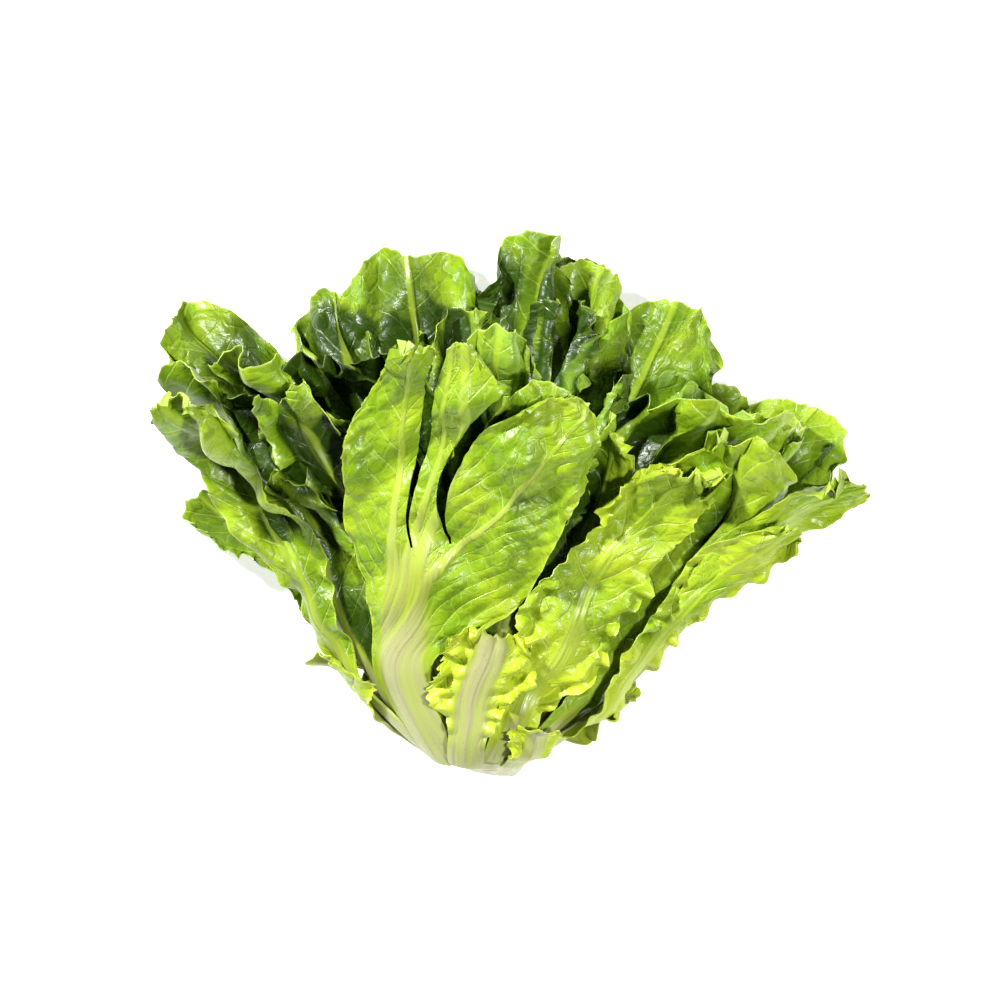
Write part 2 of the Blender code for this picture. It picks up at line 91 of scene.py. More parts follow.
def smooth(x, lo, hi):
    """0 below lo, 1 above hi, with a soft step between."""
    s = np.clip((x - lo) / (hi - lo), 0.0, 1.0)
    return s * s * (3.0 - 2.0 * s)


print("outermost ring at the root, millimetres:", HEART_RING + RING_GROWTH)

# %% [markdown]
# The leaves of a head press on each other, so a fold in one goes on in the next. Two sums of waves give
# such shared folds, slow ones all over and sharper ones towards the tips. With folds drawn leaf by leaf,
# neighbours would cut through each other.

# %% Folds that neighbours share
FOLD_HEIGHT = 4.5
CREST, CREST_PEAK = 0.96, 1.29      # below 1, so that a ridge keeps a small radius; its height
WAVE_PEAK, FOLD_PEAK = 1.6, 1.4     # bring the sums to about -1 to 1


def wave_terms(seed, count, degrees, length, layers):
    draw = random.Random(seed)
    terms = []
    for _ in range(count):
        heading = draw.uniform(0.0, CIRCLE)
        around = max(1, round(360.0 / degrees * abs(math.cos(heading)) * draw.uniform(0.7, 1.3)))
        along = CIRCLE / length * math.sin(heading) * draw.uniform(0.7, 1.3)
        deep = CIRCLE / layers * draw.uniform(-1.0, 1.0)
        terms.append((around, along, deep, draw.uniform(0.0, CIRCLE)))
    return terms


WAVES = wave_terms(11, 9, 62.0, 95.0, 3.2)
FOLDS = wave_terms(23, 7, 17.0, 130.0, 0.7)


def wave(a, t, c):
    """The slow folds that all leaves share."""
    total = sum(np.sin(m * a + k * t + d * c + p) for m, k, d, p in WAVES)
    return total / math.sqrt(len(WAVES) / 2.0) / WAVE_PEAK


def crease(x):
    """A wave with crisp ridges and valleys."""
    return np.arcsin(CREST * np.sin(x)) / CREST_PEAK


def folds(a, t, c):
    """Sharper folds near the tips, calmer in front and livelier at the left."""
    total = sum(crease(m * a + k * t + d * c + p) for m, k, d, p in FOLDS)
    total = total / math.sqrt(len(FOLDS) / 2.0) / FOLD_PEAK
    front = np.exp(-((a + 0.2) / 0.5) ** 2) * (1.0 - smooth(t, 165.0, 195.0))
    left = np.exp(-((a + 1.1) / 0.5) ** 2)
    return FOLD_HEIGHT * total * smooth(t, 60.0, 150.0) * (1.0 - 0.75 * front + 0.6 * left)


print("slow waves:", len(WAVES), "sharp waves:", len(FOLDS))

# %% [markdown]
# Between the leaves there are deep gaps where no light comes. They could be painted on, but paint looks
# flat from the side. So for each one the leaves inside one layer sink towards the heart round one spot,
# and shade is painted into their green there as well.

# %% Dark hollows between the leaves, sunk and with painted shade
# azimuth and length of the middle, half sizes, depth, outermost layer that sinks, and strength of the
# painted shade
HOLLOWS = [
    (-50, 122, 12, 38, 14, 0.66, 1.5), (-38, 160, 8, 15, 8, 0.55, 1.2), (26, 160, 7, 13, 12, 0.60, 1.2),
    (17, 172, 6, 12, 10, 0.60, 1.2), (5, 192, 5, 12, 9, 0.34, 1.2), (-55, 114, 6, 20, 13, 0.80, 1.5),
    (-55, 90, 4, 12, 7, 0.80, 1.0), (-56, 58, 4, 12, 4, 0.80, 1.0), (-55, 142, 6, 18, 11, 0.70, 1.5),
    (-61, 162, 6, 14, 11, 0.66, 1.5), (-78, 180, 3, 12, 6, 0.66, 1.2), (-44, 168, 10, 15, 10, 0.50, 1.5),
    (-143, 177, 5, 12, -4, 0.56, 1.0), (-165, 177, 3, 16, -4, 0.60, 1.2), (-175, 192, 4, 15, -4, 0.46, 1.3),
    (170, 181, 8, 12, -3, 0.33, 1.4), (13, 174, 5, 10, 6, 0.34, 1.2), (37, 153, 4, 10, 8, 0.47, 1.2),
    (31, 165, 4, 8, 6, 0.47, 1.2), (107, 172, 3, 8, 4, 0.60, 1.0), (49, 177, 3, 5, 3, 0.55, 1.0),
    (18, 122, 4, 22, 6, 0.78, 1.3), (-8, 128, 4, 36, 8, 0.80, 1.6), (-18, 128, 3, 36, 8, 0.80, 1.6),
]
HEART_CALM = 0.35           # inside this layer the hollows get shallower


def hollow(a, t, c):
    """How far a point sinks towards the heart, so that the light is lost there, and how much shade is
    painted there.
    """
    depth, dark = 0.0, 0.0
    for azimuth, length, wide, long, deep, edge, painted_shade in HOLLOWS:
        aside = np.remainder(a - math.radians(azimuth) + math.pi, CIRCLE) - math.pi
        bell = np.exp(-(aside / math.radians(wide)) ** 2 - ((t - length) / long) ** 2)
        bell = bell * smooth(edge - c, 0.0, 0.06)
        depth = depth + deep * bell
        dark = np.maximum(dark, painted_shade * bell)
    return depth * min(1.0, c / HEART_CALM), dark


print("hollows:", len(HOLLOWS))

# %% [markdown]
# Now the map itself. The rings of leaves open like a flattened funnel, arch over at the sides, carry the
# shared folds, and are tilted and sag a little, because the head lies on a table.

# %% From azimuth, length and layer to a place
def ring(c):
    return HEART_RING + RING_GROWTH * c


def share(c):
    return max(c, 0.02) ** 0.6


def flare(t):
    return SPREAD * t + COLLAR * (1.0 - np.exp(-t / COLLAR_LENGTH))


def squash(t):
    return FLATTEN + (1.0 - FLATTEN) * np.exp(-t / FLATTEN_LENGTH)


def turn(p):
    """Tilt the tips up, lean the head to the right and let the lower leaves sag."""
    x, y, z = p[..., 0], p[..., 1], p[..., 2]
    ct, st = math.cos(TILT), math.sin(TILT)
    y, z = y * ct - z * st, y * st + z * ct
    cl, sl = math.cos(LEAN), math.sin(LEAN)
    x, y = x * cl + y * sl, -x * sl + y * cl
    drop = SAG * smooth(y, SAG_START, SAG_END)
    return np.stack([x, y, z - drop * np.exp(-(z + SAG_TOP) / SAG_FADE)], -1)


def flank(a, t):
    """The head is a little slimmer at both sides, low down."""
    left = 0.10 * np.exp(-((np.abs(a) - 1.75) / 0.85) ** 2 - ((t - 88.0) / 34.0) ** 2)
    return 1.0 - np.where(a < 0.0, left, 0.5 * left)


def head_point(a, t, c):
    """Place in millimetres of azimuth a, length t and layer c, in the part's frame."""
    k = squash(t)
    s = share(c)
    r = (ring(c) + s * flare(t)) * flank(a, t)
    calm = 1.0 - CALM * smooth(-np.cos(a), 0.2, 0.9) * smooth(c, 0.45, 0.9)
    even = a + BUNCH * np.sin(2.0 * a)
    fold = WAVE_HEIGHT * (1.0 + 0.6 * np.sin(a) ** 2) * smooth(t, 35.0, 130.0) * calm
    fold = fold * np.minimum(r / 110.0, 1.2) * wave(even, t, c)
    fold = fold + calm * np.minimum(r / 60.0, 1.0) * folds(even, t, c) - hollow(a, t, c)[0]
    ex, ez = k * np.sin(a), np.cos(a)
    en = np.sqrt(ex * ex + ez * ez)
    slant = ARCH * s * np.sqrt(np.sin(a) ** 2 + (k * np.cos(a)) ** 2)
    x = r * (1.0 + SIDE_WIDENING * smooth(t, 30.0, 160.0)) * np.sin(a) + fold * ex / en
    y = t * np.sqrt(np.clip(1.0 - slant ** 2, 0.05, 1.0))
    level = np.cos(a)
    level = np.where(level < 0.0, level * (1.0 + BELLY + BELLY * level), level)
    z = r * k * level + fold * ez / en
    return turn(np.stack([x, y, z], -1)) + SHIFT


print("a point 180 mm up in front:", head_point(np.array(0.0), np.array(180.0), 0.9).round(1))

# %% [markdown]
# A head grows one leaf at a time, each about 137.5 degrees round from the last. The spiral alone gives
# only a head of this sort, so the table says for each leaf where it bends to, its length and its width.

# %% The leaves of this head
GOLDEN_ANGLE, FIRST_LEAF = 137.508, 45.0
OUTER_LAYER, LAYER_STEP, ROOT_WIDTH = 1.04, 0.76 / 41.0, 0.31
FRONT = 11                  # rank of the big front leaf, which is made in a way of its own

# rank: (azimuth half way, azimuth at the tip, length, half width, layer nudge)
LEAVES = {
    0: (38, 32, 26, 12, 0), 1: (-88, -80, 52, 20, 0), 2: (112, 98, 45, 16, 0.4),
    3: (-4, 2, 66, 19, 0), 4: (-124, -114, 127, 14, 0), 5: (72, 62, 128, 30, 0),
    6: (-68, -46, 180, 30, 0), 7: (166, 170, 183, 36, 0), 8: (30, 32, 153, 33, 0.4),
    9: (-116, -124, 112, 15, 0), 10: (88, 66, 178, 22, 0), 12: (-168, -172, 192, 36, 0),
    13: (50, 42, 174, 34, -0.3), 14: (-66, -52, 132, 24, 0), 15: (130, 128.5, 181, 24, 0),
    16: (6, 6, 177, 22, 0), 17: (-128, -126, 194, 21, 0), 18: (90, 84, 77, 21, 0),
    19: (-44, -38, 174, 22, 0), 20: (174, 174, 213, 26, 0), 21: (28, 20, 165, 22, 0),
    22: (-86, -74, 191, 26, 0), 23: (130, 136, 171, 26, 0), 24: (-28, -36, 156, 22, 0),
    25: (-160, -160.5, 208, 32, 0), 26: (84, 100, 178, 28, 0), 27: (-60, -54, 189, 26, 0),
    28: (162, 168, 207, 20, 0), 29: (40, 70, 183, 26, 0), 30: (-130, -141, 192, 18, 0),
    31: (128, 151, 200, 25, 0), 32: (-44, -52, 180, 24, 0), 33: (-178, -182, 219, 15, -0.6),
    34: (48, 46, 177, 30, 0), 35: (-118, -144, 180, 28, 0), 36: (150, 162, 174, 18, 0),
    37: (-4, -4.5, 193, 16, 0), 38: (-156, -168, 183, 20, 0), 39: (108, 130, 171, 26, -0.3),
    40: (-46, -38, 177, 22, 0), 41: (168, 170, 192, 18, 0),
}


def root_azimuth(rank):
    """Where round the stem a leaf grows, in degrees."""
    return (FIRST_LEAF - GOLDEN_ANGLE * rank + 180.0) % 360.0 - 180.0


def layer_of(rank, nudge=0.0):
    """How far out a leaf lies, from about 0.3 inside to about 1 outside."""
    return OUTER_LAYER - LAYER_STEP * (rank - nudge)


print("leaves in the spiral:", len(LEAVES) + 1)
print("the first three grow at, degrees:", [round(root_azimuth(rank)) for rank in range(3)])

# %% [markdown]
# A plain leaf is narrow at its root and widest above its middle. It starts in its own direction and bends
# towards its tip's place. Its width is laid out along the curved layer in small steps, so that it keeps
# its true size however much the layer bends.

# %% The run of a plain leaf
WIDTH_STEPS = 10


def near(angle, other):
    """The same angle in degrees, counted so that it lies nearest to the other."""
    return angle + 360.0 * round((other - angle) / 360.0)


def half_width(u, c, width):
    """Half the width at share u of the length."""
    root = ROOT_WIDTH * ring(c)
    neck = max(root, 0.32 * width)
    w = root + (neck - root) * smooth(u, 0.0, 0.25)
    w = w + (width - neck) * smooth(u, 0.16, 0.70)
    return w - 0.12 * width * smooth(u, 0.84, 1.0)


def leaf_path(u, v, c, root, middle, tip, length, width):
    """Azimuth and length over a plain leaf, v from -1 to 1 across it."""
    t = length * u * (1.0 - 0.09 * np.abs(v) ** 3.0 * smooth(u, 0.35, 1.0))
    q = half_width(u, c, width) * v
    root, middle, tip = (math.radians(x) for x in (root, near(middle, root), near(tip, root)))
    half = min(50.0, 0.4 * length)
    a = root + (middle - root) * smooth(t, 0.0, half)
    a = a + (tip - middle) * smooth(t, half, min(2.6 * half, 0.9 * length))
    r = ring(c) + share(c) * flare(t)
    for _ in range(WIDTH_STEPS):
        lever = r * np.sqrt(np.cos(a) ** 2 + (squash(t) * np.sin(a)) ** 2)
        a = a + (q / WIDTH_STEPS) / np.maximum(lever, 0.45 * r)
    return a, t


print("half width of a leaf of 30 mm, from its root:", half_width(np.linspace(0, 1, 5), 0.9, 30.0).round(1))

# %% [markdown]
# Leaves that show well have points on their left and right edges, from root to tip. A smooth curve
# through the points gives each edge, and the leaf is filled in between the two.

# %% Outlines of the leaves that show well
# (left azimuth, left length, right azimuth, right length) from root to tip
OUTLINES = {
    5: [(60, 26, 88, 26), (52, 48, 74, 50), (44, 86, 57, 87), (41, 118, 54, 112),
        (42, 140, 54, 131), (45, 147, 51, 143)],
    6: [(-82, 27, -62, 30), (-76, 60, -54, 63), (-67, 90, -46, 94), (-60, 120, -42, 122),
        (-55, 156, -42, 146), (-53, 174, -40, 165), (-49, 180, -42, 178)],
    8: [(9, 34, 33, 34), (8, 52, 44, 52), (10, 76, 40, 88), (14, 102, 36, 106),
        (19, 124, 37, 132), (22, 144, 35, 148), (25, 153, 31, 156)],
    10: [(88, 26, 114, 26), (66, 60, 84, 60), (48, 100, 58, 104), (44, 135, 56, 136),
         (47, 158, 63, 157), (56, 173, 70, 169)],
    13: [(44, 26, 72, 26), (48, 48, 80, 50), (36, 78, 70, 80), (31, 111, 60, 116),
         (29, 135, 57, 146), (28, 154, 47, 166), (33, 168, 40, 176)],
    21: [(26, 26, 42, 26), (16, 51, 35, 54), (15, 92, 32, 92), (15, 130, 29, 128),
         (14, 156, 25, 148), (15, 164, 21.5, 159)],
}


def through(xs, ys, x):
    xs, ys = np.asarray(xs, float), np.asarray(ys, float)
    slope = np.gradient(ys, xs)
    i = np.clip(np.searchsorted(xs, x) - 1, 0, len(xs) - 2)
    h = xs[i + 1] - xs[i]
    s = np.clip((x - xs[i]) / h, 0.0, 1.0)
    return ((1 + 2 * s) * (1 - s) ** 2 * ys[i] + s * (1 - s) ** 2 * h * slope[i]
            + s * s * (3 - 2 * s) * ys[i + 1] + s * s * (s - 1) * h * slope[i + 1])


def between_edges(stations, u, v):
    table = np.array(stations, float)
    reach = 0.5 * (table[:, 1] + table[:, 3])
    reach = np.maximum.accumulate(reach + 0.01 * np.arange(len(reach)))
    wanted = reach[0] + (reach[-1] - reach[0]) * u
    left, low, right, high = (through(reach, table[:, k], wanted) for k in range(4))
    s = 0.5 * (v + 1.0)
    a = np.radians(left + (right - left) * s)
    t = low + (high - low) * s
    return a, t + 0.12 * t * s * (1.0 - s) * u


print("leaves with an outline:", len(OUTLINES))

# %% [markdown]
# Each leaf starts as a flat slab: a bmesh grid with a second face from solidify, closed at its rim. Its x
# and y say how far across and up the leaf a point is, so bending it is one move of its points. Where a
# leaf is slit, faces are taken out before the slab gets its thickness.

# %% A flat slab, ready to be bent
LEAF_ROWS, LEAF_COLUMNS = 104, 44
SLAB_THICKNESS = 0.01


def points_of(mesh):
    co = np.zeros(3 * len(mesh.vertices))
    mesh.vertices.foreach_get("co", co)
    return co.reshape(-1, 3)


def flat_slab(rows, columns, slits=()):
    """Mesh of a slab, with each point's column, row and side; a slit is (column, first row)."""
    bm = bmesh.new()
    bmesh.ops.create_grid(bm, x_segments=columns, y_segments=rows, size=1.0)
    gone = []
    for column, first in slits:
        for face in bm.faces:
            x, y, _ = face.calc_center_median()
            if int((x + 1.0) / 2.0 * columns) == column and (y + 1.0) / 2.0 * rows > first:
                gone.append(face)
    if gone:
        bmesh.ops.delete(bm, geom=gone, context="FACES")
    bmesh.ops.solidify(bm, geom=bm.faces[:], thickness=SLAB_THICKNESS)
    mesh = bpy.data.meshes.new("slab")
    bm.to_mesh(mesh)
    bm.free()
    co = points_of(mesh)
    column = np.rint((co[:, 0] + 1.0) / 2.0 * columns).astype(int)
    row = np.rint((co[:, 1] + 1.0) / 2.0 * rows).astype(int)
    return mesh, column, row, co[:, 2] < -0.5 * SLAB_THICKNESS


print("points of a slab:", 2 * (LEAF_ROWS + 1) * (LEAF_COLUMNS + 1))

# %% [markdown]
# Nothing about a leaf is smooth: its edge is toothed and lobed, it ripples, and its skin swells between
# the veins. A Displace modifier could do part of this, but it knows nothing of edge, tip and veins. These
# helpers give such shapes from a seed, so each leaf is different and every run gives the same head.

# %% Uneven shapes
FIELD_PEAK = 1.7            # brings a sum of random waves to about -1 to 1
TOOTH_KINDS = 97            # a row of teeth repeats after this many


def ripple_field(seed, shortest, longest, count=14):
    """Random smooth bumps between two lengths in millimetres, about -1 to 1."""
    draw = random.Random(seed)
    terms = []
    for _ in range(count):
        heading = draw.uniform(0.0, CIRCLE)
        k = CIRCLE / draw.uniform(shortest, longest)
        terms.append((k * math.cos(heading), k * math.sin(heading), draw.uniform(0.0, CIRCLE)))

    def field(x, y):
        total = sum(np.sin(kx * x + ky * y + p) for kx, ky, p in terms)
        return total / math.sqrt(count / 2.0) / FIELD_PEAK
    return field


def saw(x, spacing, seed):
    """Row of pointed teeth along x, each of its own size, 0 to 1."""
    draw = random.Random(seed)
    size = np.array([draw.uniform(0.35, 1.0) for _ in range(TOOTH_KINDS)])
    lean = np.array([draw.uniform(0.35, 0.75) for _ in range(TOOTH_KINDS)])
    i = np.floor(x / spacing).astype(int) % TOOTH_KINDS
    f = x / spacing - np.floor(x / spacing)
    up = np.where(f < lean[i], f / lean[i], (1.0 - f) / (1.0 - lean[i]))
    return size[i] * up ** 1.6


print("teeth every 2 mm along an edge:", saw(np.arange(0.0, 13.0, 2.0), 6.5, 1).round(2))

# %% [markdown]
# The style of a leaf says how deep its ripples, pleats and swellings are and how pale and yellow it is. A
# leaf takes the plain style and changes only what sets it apart: the torn and frilled ones low on the
# head are yellow green, and those behind get painted shade and are free only near their tips.

# %% Styles of leaves
PLAIN = dict(
    ripple=3.2, ripple_length=22, pleat=1.2, pleat_width=26,    # waves along the edge, folds up the leaf
    crumple=1.8, swell=0.8, frill=0.0, fold=(0, 0, 10),         # dents, blisters, low frill, one crease
    curl=1.5, lift=3.0, sink=0.0, gather=1.0,                   # tip out, sides out, all in, narrower
    teeth=2.0, teeth_spacing=6.5, lobes=3.0, open=(0.1, 0.4),   # the edge; where the leaf comes free
    rib=2.4, rib_width=4.2, rib_reach=0.9, blade=0.55,          # midrib and thickness
    pale=(14, 62), core=(30, 80), soft=(0.85, 1.35),            # where the white of root and rib ends
    ribs=0.2, fade=(0.35, 0.8), halo=0.0, slant=1.05,           # the midrib further up, the side veins
    # the last setting paints shade into the sunk valleys of the folds; a tone below 0 mixes in dark green,
    # partly as painted shade
    tone=0.0, low=0.3, cavity=0.9)                              # yellow above 0; low down; dark valleys
WIDE = dict(pale=(6, 26), core=(16, 44), rib=1.6)       # the wide frilled leaves with a short white root
STYLES = {
    0: dict(ripple=2.6, ripple_length=11, tone=0.6, lobes=1.0, teeth=1.6, teeth_spacing=4, pale=(2, 16),
            curl=1, ribs=0.9),
    1: dict(ripple=3.4, ripple_length=15, tone=0.5, crumple=2.6, pale=(10, 44), teeth_spacing=5,
            rib_width=7, ribs=0.9, curl=1),
    2: dict(ripple=3.0, ripple_length=13, frill=2.5, tone=0.9, crumple=2.4, pale=(8, 34), teeth_spacing=5,
            rib_width=6, ribs=1.0, curl=1),
    3: dict(ripple=2.4, ripple_length=11, frill=3.0, teeth=2.6, teeth_spacing=4.0, tone=0.9, crumple=1.2,
            pale=(6, 26), core=(58, 75), rib_width=8, rib_reach=2.5, rib=3.5, ribs=1.1, soft=(0.5, 1.4),
            curl=0.3, swell=0.6),
    4: dict(ripple=4.5, ripple_length=20, tone=-0.6),
    5: dict(**WIDE, tone=0.4, lobes=4.5, low=0.8, curl=1.0, ripple=2.6, ripple_length=15, open=(0.05, 0.2),
            frill=3.0),
    6: dict(cavity=1.1, pleat=6.0, pleat_width=21, tone=-0.25, curl=2.0),
    8: dict(**WIDE, tone=0.35, lobes=5.0, low=0.8, frill=2.6, ripple=2.8, ripple_length=15, teeth=2.6,
            teeth_spacing=5.0, open=(0.05, 0.25), crumple=2.2),
    9: dict(crumple=2.6, tone=0.25, ripple=3.5),
    10: dict(ripple=3.0, tone=0.15, curl=1.0, open=(0.75, 0.92)),
    13: dict(**WIDE, tone=0.3, lobes=5.0, low=0.6, frill=2.4, pleat=1.5, curl=1.0, open=(0.68, 0.9),
             fold=(-2.0, -6.0, 3.5)),
    18: dict(frill=3.0, ripple=3.5, ripple_length=12, tone=0.9, crumple=2.2, pale=(8, 40), open=(0.1, 0.4),
             curl=1),
    14: dict(cavity=1.1), 16: dict(lift=0.5), 17: dict(cavity=1.0), 19: dict(cavity=1.1),
    22: dict(cavity=1.2), 24: dict(lift=0.5), 25: dict(cavity=1.0, fold=(-7.0, -6.0, 12.0)),
    27: dict(cavity=1.1, open=(0.65, 0.85)), 30: dict(cavity=1.0), 32: dict(cavity=1.1),
    33: dict(ripple_length=18), 35: dict(cavity=1.0), 36: dict(ripple_length=16),
    37: dict(open=(0.6, 0.8)), 41: dict(ripple_length=16),
    FRONT: dict(ribs=0.9, fade=(0.42, 0.80), low=0.0, lift=1.0, core=(40.0, 135.0), pale=(10.0, 46.0),
                soft=(0.5, 2.4), halo=1.0, cavity=0.5, slant=1.9, ripple=1.6, ripple_length=30, pleat=0.6,
                crumple=2.0, swell=0.9, tone=0.1, rib=5.5),
}
# the leaves behind the front leaf differ mostly in these
FOLD_COLUMNS = ("pleat", "pleat_width", "tone", "curl", "gather", "sink", "ripple")
FOLDED = {
    14: (2.5, 26, -0.35, 0, 0.75, 2, 3.2), 15: (1.2, 26, 0.15, 1, 1, 0, 3),
    16: (0.5, 26, 0, 0.5, 1, 3, 1.5), 17: (3.5, 30, -0.25, 2, 1, 0, 3.2),
    19: (3.5, 18, -0.25, 2.5, 0.5, 2, 3.2), 20: (1.2, 26, -0.2, 1.5, 1, 0, 3),
    21: (2, 26, 0.35, 2, 0.8, 0, 3.2), 22: (6, 20, -0.35, 3, 0.85, 0, 3.2),
    23: (3, 26, -0.2, 1.5, 0.75, 0, 3.2), 24: (0.5, 26, -0.5, 0, 1, 8, 1),
    25: (1.5, 26, -0.3, 2.5, 1, 0, 3.2), 26: (3, 26, 0.1, 1, 0.85, 2.5, 3.2),
    27: (4, 22, -0.3, 2.5, 0.6, 0, 3.2), 28: (3, 26, -0.25, 1.5, 1, 0, 3.2),
    29: (3, 26, 0.1, 1.5, 0.8, 2.5, 3.2), 30: (4, 20, -0.3, 1.5, 0.85, 0, 3.2),
    31: (3, 60, -0.2, 2, 1, 0, 3.2), 32: (4, 16, -0.5, 1.5, 0.7, 5, 3.2),
    33: (5, 20, -0.3, 1.5, 1, 0, 4), 34: (4, 26, 0.1, 1.5, 0.9, 3, 4),
    35: (3, 24, -0.3, 3.5, 1, 0, 3.2), 36: (5, 14, -0.3, 1.5, 0.7, 0, 5),
    37: (2.5, 11, 0.15, 1, 1, 1, 3.2), 38: (3, 26, -0.35, 1.5, 1, 0, 3.2),
    39: (3, 26, -0.15, 3, 1, 0, 3.2), 40: (1.5, 26, -0.6, 1, 0.8, 5, 1.5),
    41: (5, 14, -0.45, 1.5, 0.75, 0, 5),
}


def style_of(rank):
    """All the settings of a leaf; those behind the front leaf are hidden by others low down."""
    # those behind also get a little painted shade through a lower tone
    hidden = dict(open=(0.45, 0.78), lift=2.0, tone=-0.1) if rank > FRONT else {}
    folded = dict(zip(FOLD_COLUMNS, FOLDED.get(rank, ())))
    return {**PLAIN, **hidden, **folded, **STYLES.get(rank, {})}


print("leaves with a style of their own:", len(set(STYLES) | set(FOLDED)))

# %% [markdown]
# The folds of a leaf are moves along its own outward direction. Ripples grow towards the edge, because
# the edge grows faster than the middle and has to go somewhere. Pleats grow towards the tip, and blisters
# sit between the side veins, which rise aslant from the midrib and hold the skin down.

# %% Folds and swellings of one leaf
VEIN_SPACING = 13.0         # between the side veins of a leaf, millimetres


def relief(q, t, off, rib_gap, style, seed):
    """How far each point moves outwards, millimetres, and how far up the side veins it lies."""
    draw = random.Random(seed)
    phase = [draw.uniform(0.0, 6.28) for _ in range(3)]
    margin = np.where(q > 0.0, draw.uniform(0.2, 1.0), draw.uniform(0.2, 1.0))
    reach = t / t.max()
    show = smooth(reach, *style["open"])
    v = np.abs(q) / np.maximum(np.abs(q).max(axis=1, keepdims=True), 1.0)
    near_edge = smooth(v, 0.30, 1.0)
    near_tip = smooth(reach, 0.72, 1.0)
    warp = ripple_field(seed + 1, 40.0, 80.0)(q, t)
    # waves along the edge, pleats up the leaf and scallops at the tip
    ripple = np.sin(CIRCLE * t / style["ripple_length"] + phase[0] + np.sign(q) * phase[1] + 3.0 * warp)
    strength = 0.7 + 0.7 * ripple_field(seed + 9, 35.0, 90.0, 8)(t, 40.0 * np.sign(q))
    move = style["ripple"] * strength * near_edge ** 1.6 * show * ripple
    pleat = crease(CIRCLE * q / style["pleat_width"] + phase[2] + 1.2 * warp)
    move += style["pleat"] * smooth(reach, 0.35, 1.0) ** 1.5 * show * pleat
    scallop = np.sin(CIRCLE * q / (0.8 * style["ripple_length"]) + phase[1] + 2.0 * warp)
    move += 0.55 * style["ripple"] * near_tip ** 2 * scallop
    # dents, the frill low on the head and the one sharp crease
    move += style["crumple"] * show * ripple_field(seed + 2, 22.0, 45.0)(q, t)
    low = smooth(t, 24.0, 42.0) * (1.0 - smooth(t, 78.0, 112.0))
    move += style["frill"] * low * smooth(v, 0.22, 0.75) * ripple_field(seed + 8, 7.0, 14.0, 22)(q, t)
    at, depth, wide = style["fold"]
    move += depth * np.exp(-np.abs(q - at - 3.0 * warp) / wide) * smooth(reach, 0.3, 0.7)
    # blisters between the side veins
    climb = t - style["slant"] * np.abs(off) + 3.0 * ripple_field(seed + 3, 25.0, 50.0)(q, t)
    between = np.abs(np.sin(math.pi * climb / VEIN_SPACING)) ** 0.6
    fleshy = smooth(np.abs(rib_gap), 0.8, 2.5) * smooth(reach, 0.12, 0.35)
    fleshy = fleshy * (0.3 + 0.7 * show)
    move += style["swell"] * fleshy * (between - 0.6)
    move += 0.6 * style["swell"] * fleshy * ripple_field(seed + 4, 6.0, 12.0, 22)(q, t)
    # how the whole leaf stands
    hollow_back = smooth(reach, 0.35, 0.7) * (1.0 - near_tip)
    move += style["curl"] * (3.2 * smooth(reach, 0.74, 1.0) ** 2 - 1.0 * hollow_back)
    move -= style["sink"] * smooth(reach, 0.45, 0.75) * (1.0 - 0.6 * smooth(reach, 0.85, 1.0))
    move += style["lift"] * margin * smooth(v, 0.55, 1.0) * show
    return move, climb


rise, strip = np.meshgrid(np.linspace(1.0, 150.0, 100), np.linspace(-30.0, 30.0, 61), indexing="ij")
trial = relief(strip, rise, strip, strip, PLAIN, 1)[0]
print("a plain leaf moves by, millimetres:", trial.min().round(1), "to", trial.max().round(1))

# %% [markdown]
# Colour follows shape: pale at the root and midrib, yellow green low on the head, with shade painted into
# hollows and valleys, light at the edge. It could be painted by hand, but then each change of shape would
# need new paint. These numbers are stored at the mesh's points instead, and two maps give the skin its
# place, one in centimetres and one along the veins.

# %% Numbers for the materials
LEAF_SHARP = math.radians(60.0)     # edges that are bent more than this stay sharp


def colouring(a, t, c, q, off, gap, edge, move, rank, style, seed):
    """How pale and how yellow or dark each point is, how far from the edge, how white its rib."""
    along = t / t.max()
    pale = 1.0 - smooth(t, *style["pale"])
    core = (1.0 - smooth(t, *style["core"])) * (1.0 - smooth(np.abs(gap), *style["soft"]))
    halo = style["halo"] * np.exp(-(off / 6.0) ** 2) * (1.0 - smooth(t, 75.0, 140.0))
    pale = np.maximum(np.maximum(pale, core), 0.30 * halo)
    # painted shade: dark spots at the hollows and in the sunk valleys of the folds
    shade = hollow(a, t, c)[1] * np.ones_like(t)
    shade = shade + style["cavity"] * smooth(-move, 0.5, 6.0)
    # the leaves behind the front leaf get painted shade all over, and more low down where others cover them
    if rank is not None and rank > FRONT:
        shade = shade + 0.15 + 0.8 * (1.0 - smooth(along, 0.35, style["open"][1]))
    # the tone is the leaf's own yellow or deeper green less the painted shade
    tone = style["tone"] - shade + 0.3 * halo + style["low"] * (1.0 - smooth(t, 30.0, 85.0))
    tone = tone + 0.25 * ripple_field(seed + 5, 30.0, 70.0)(q, t) + 0.3 * smooth(edge, 8.0, 0.0)
    white = style["ribs"] * (1.0 - 0.8 * smooth(along, *style["fade"]))
    return {"pale": pale, "tone": tone, "edge": edge, "whiteness": white}


def write_skin(mesh, row, column, numbers, maps):
    """Store numbers at the points of a mesh, and maps at the corners of its faces."""
    for label, values in numbers.items():
        layer = mesh.attributes.new(label, "FLOAT", "POINT")
        layer.data.foreach_set("value", values[row, column].astype(np.float32))
    corners = np.zeros(len(mesh.loops), int)
    mesh.loops.foreach_get("vertex_index", corners)
    for label, (x, y) in maps.items():
        uv = mesh.uv_layers.new(name=label)
        flat = np.stack([x[row, column][corners], y[row, column][corners]], 1)
        uv.data.foreach_set("uv", flat.astype(np.float32).ravel())


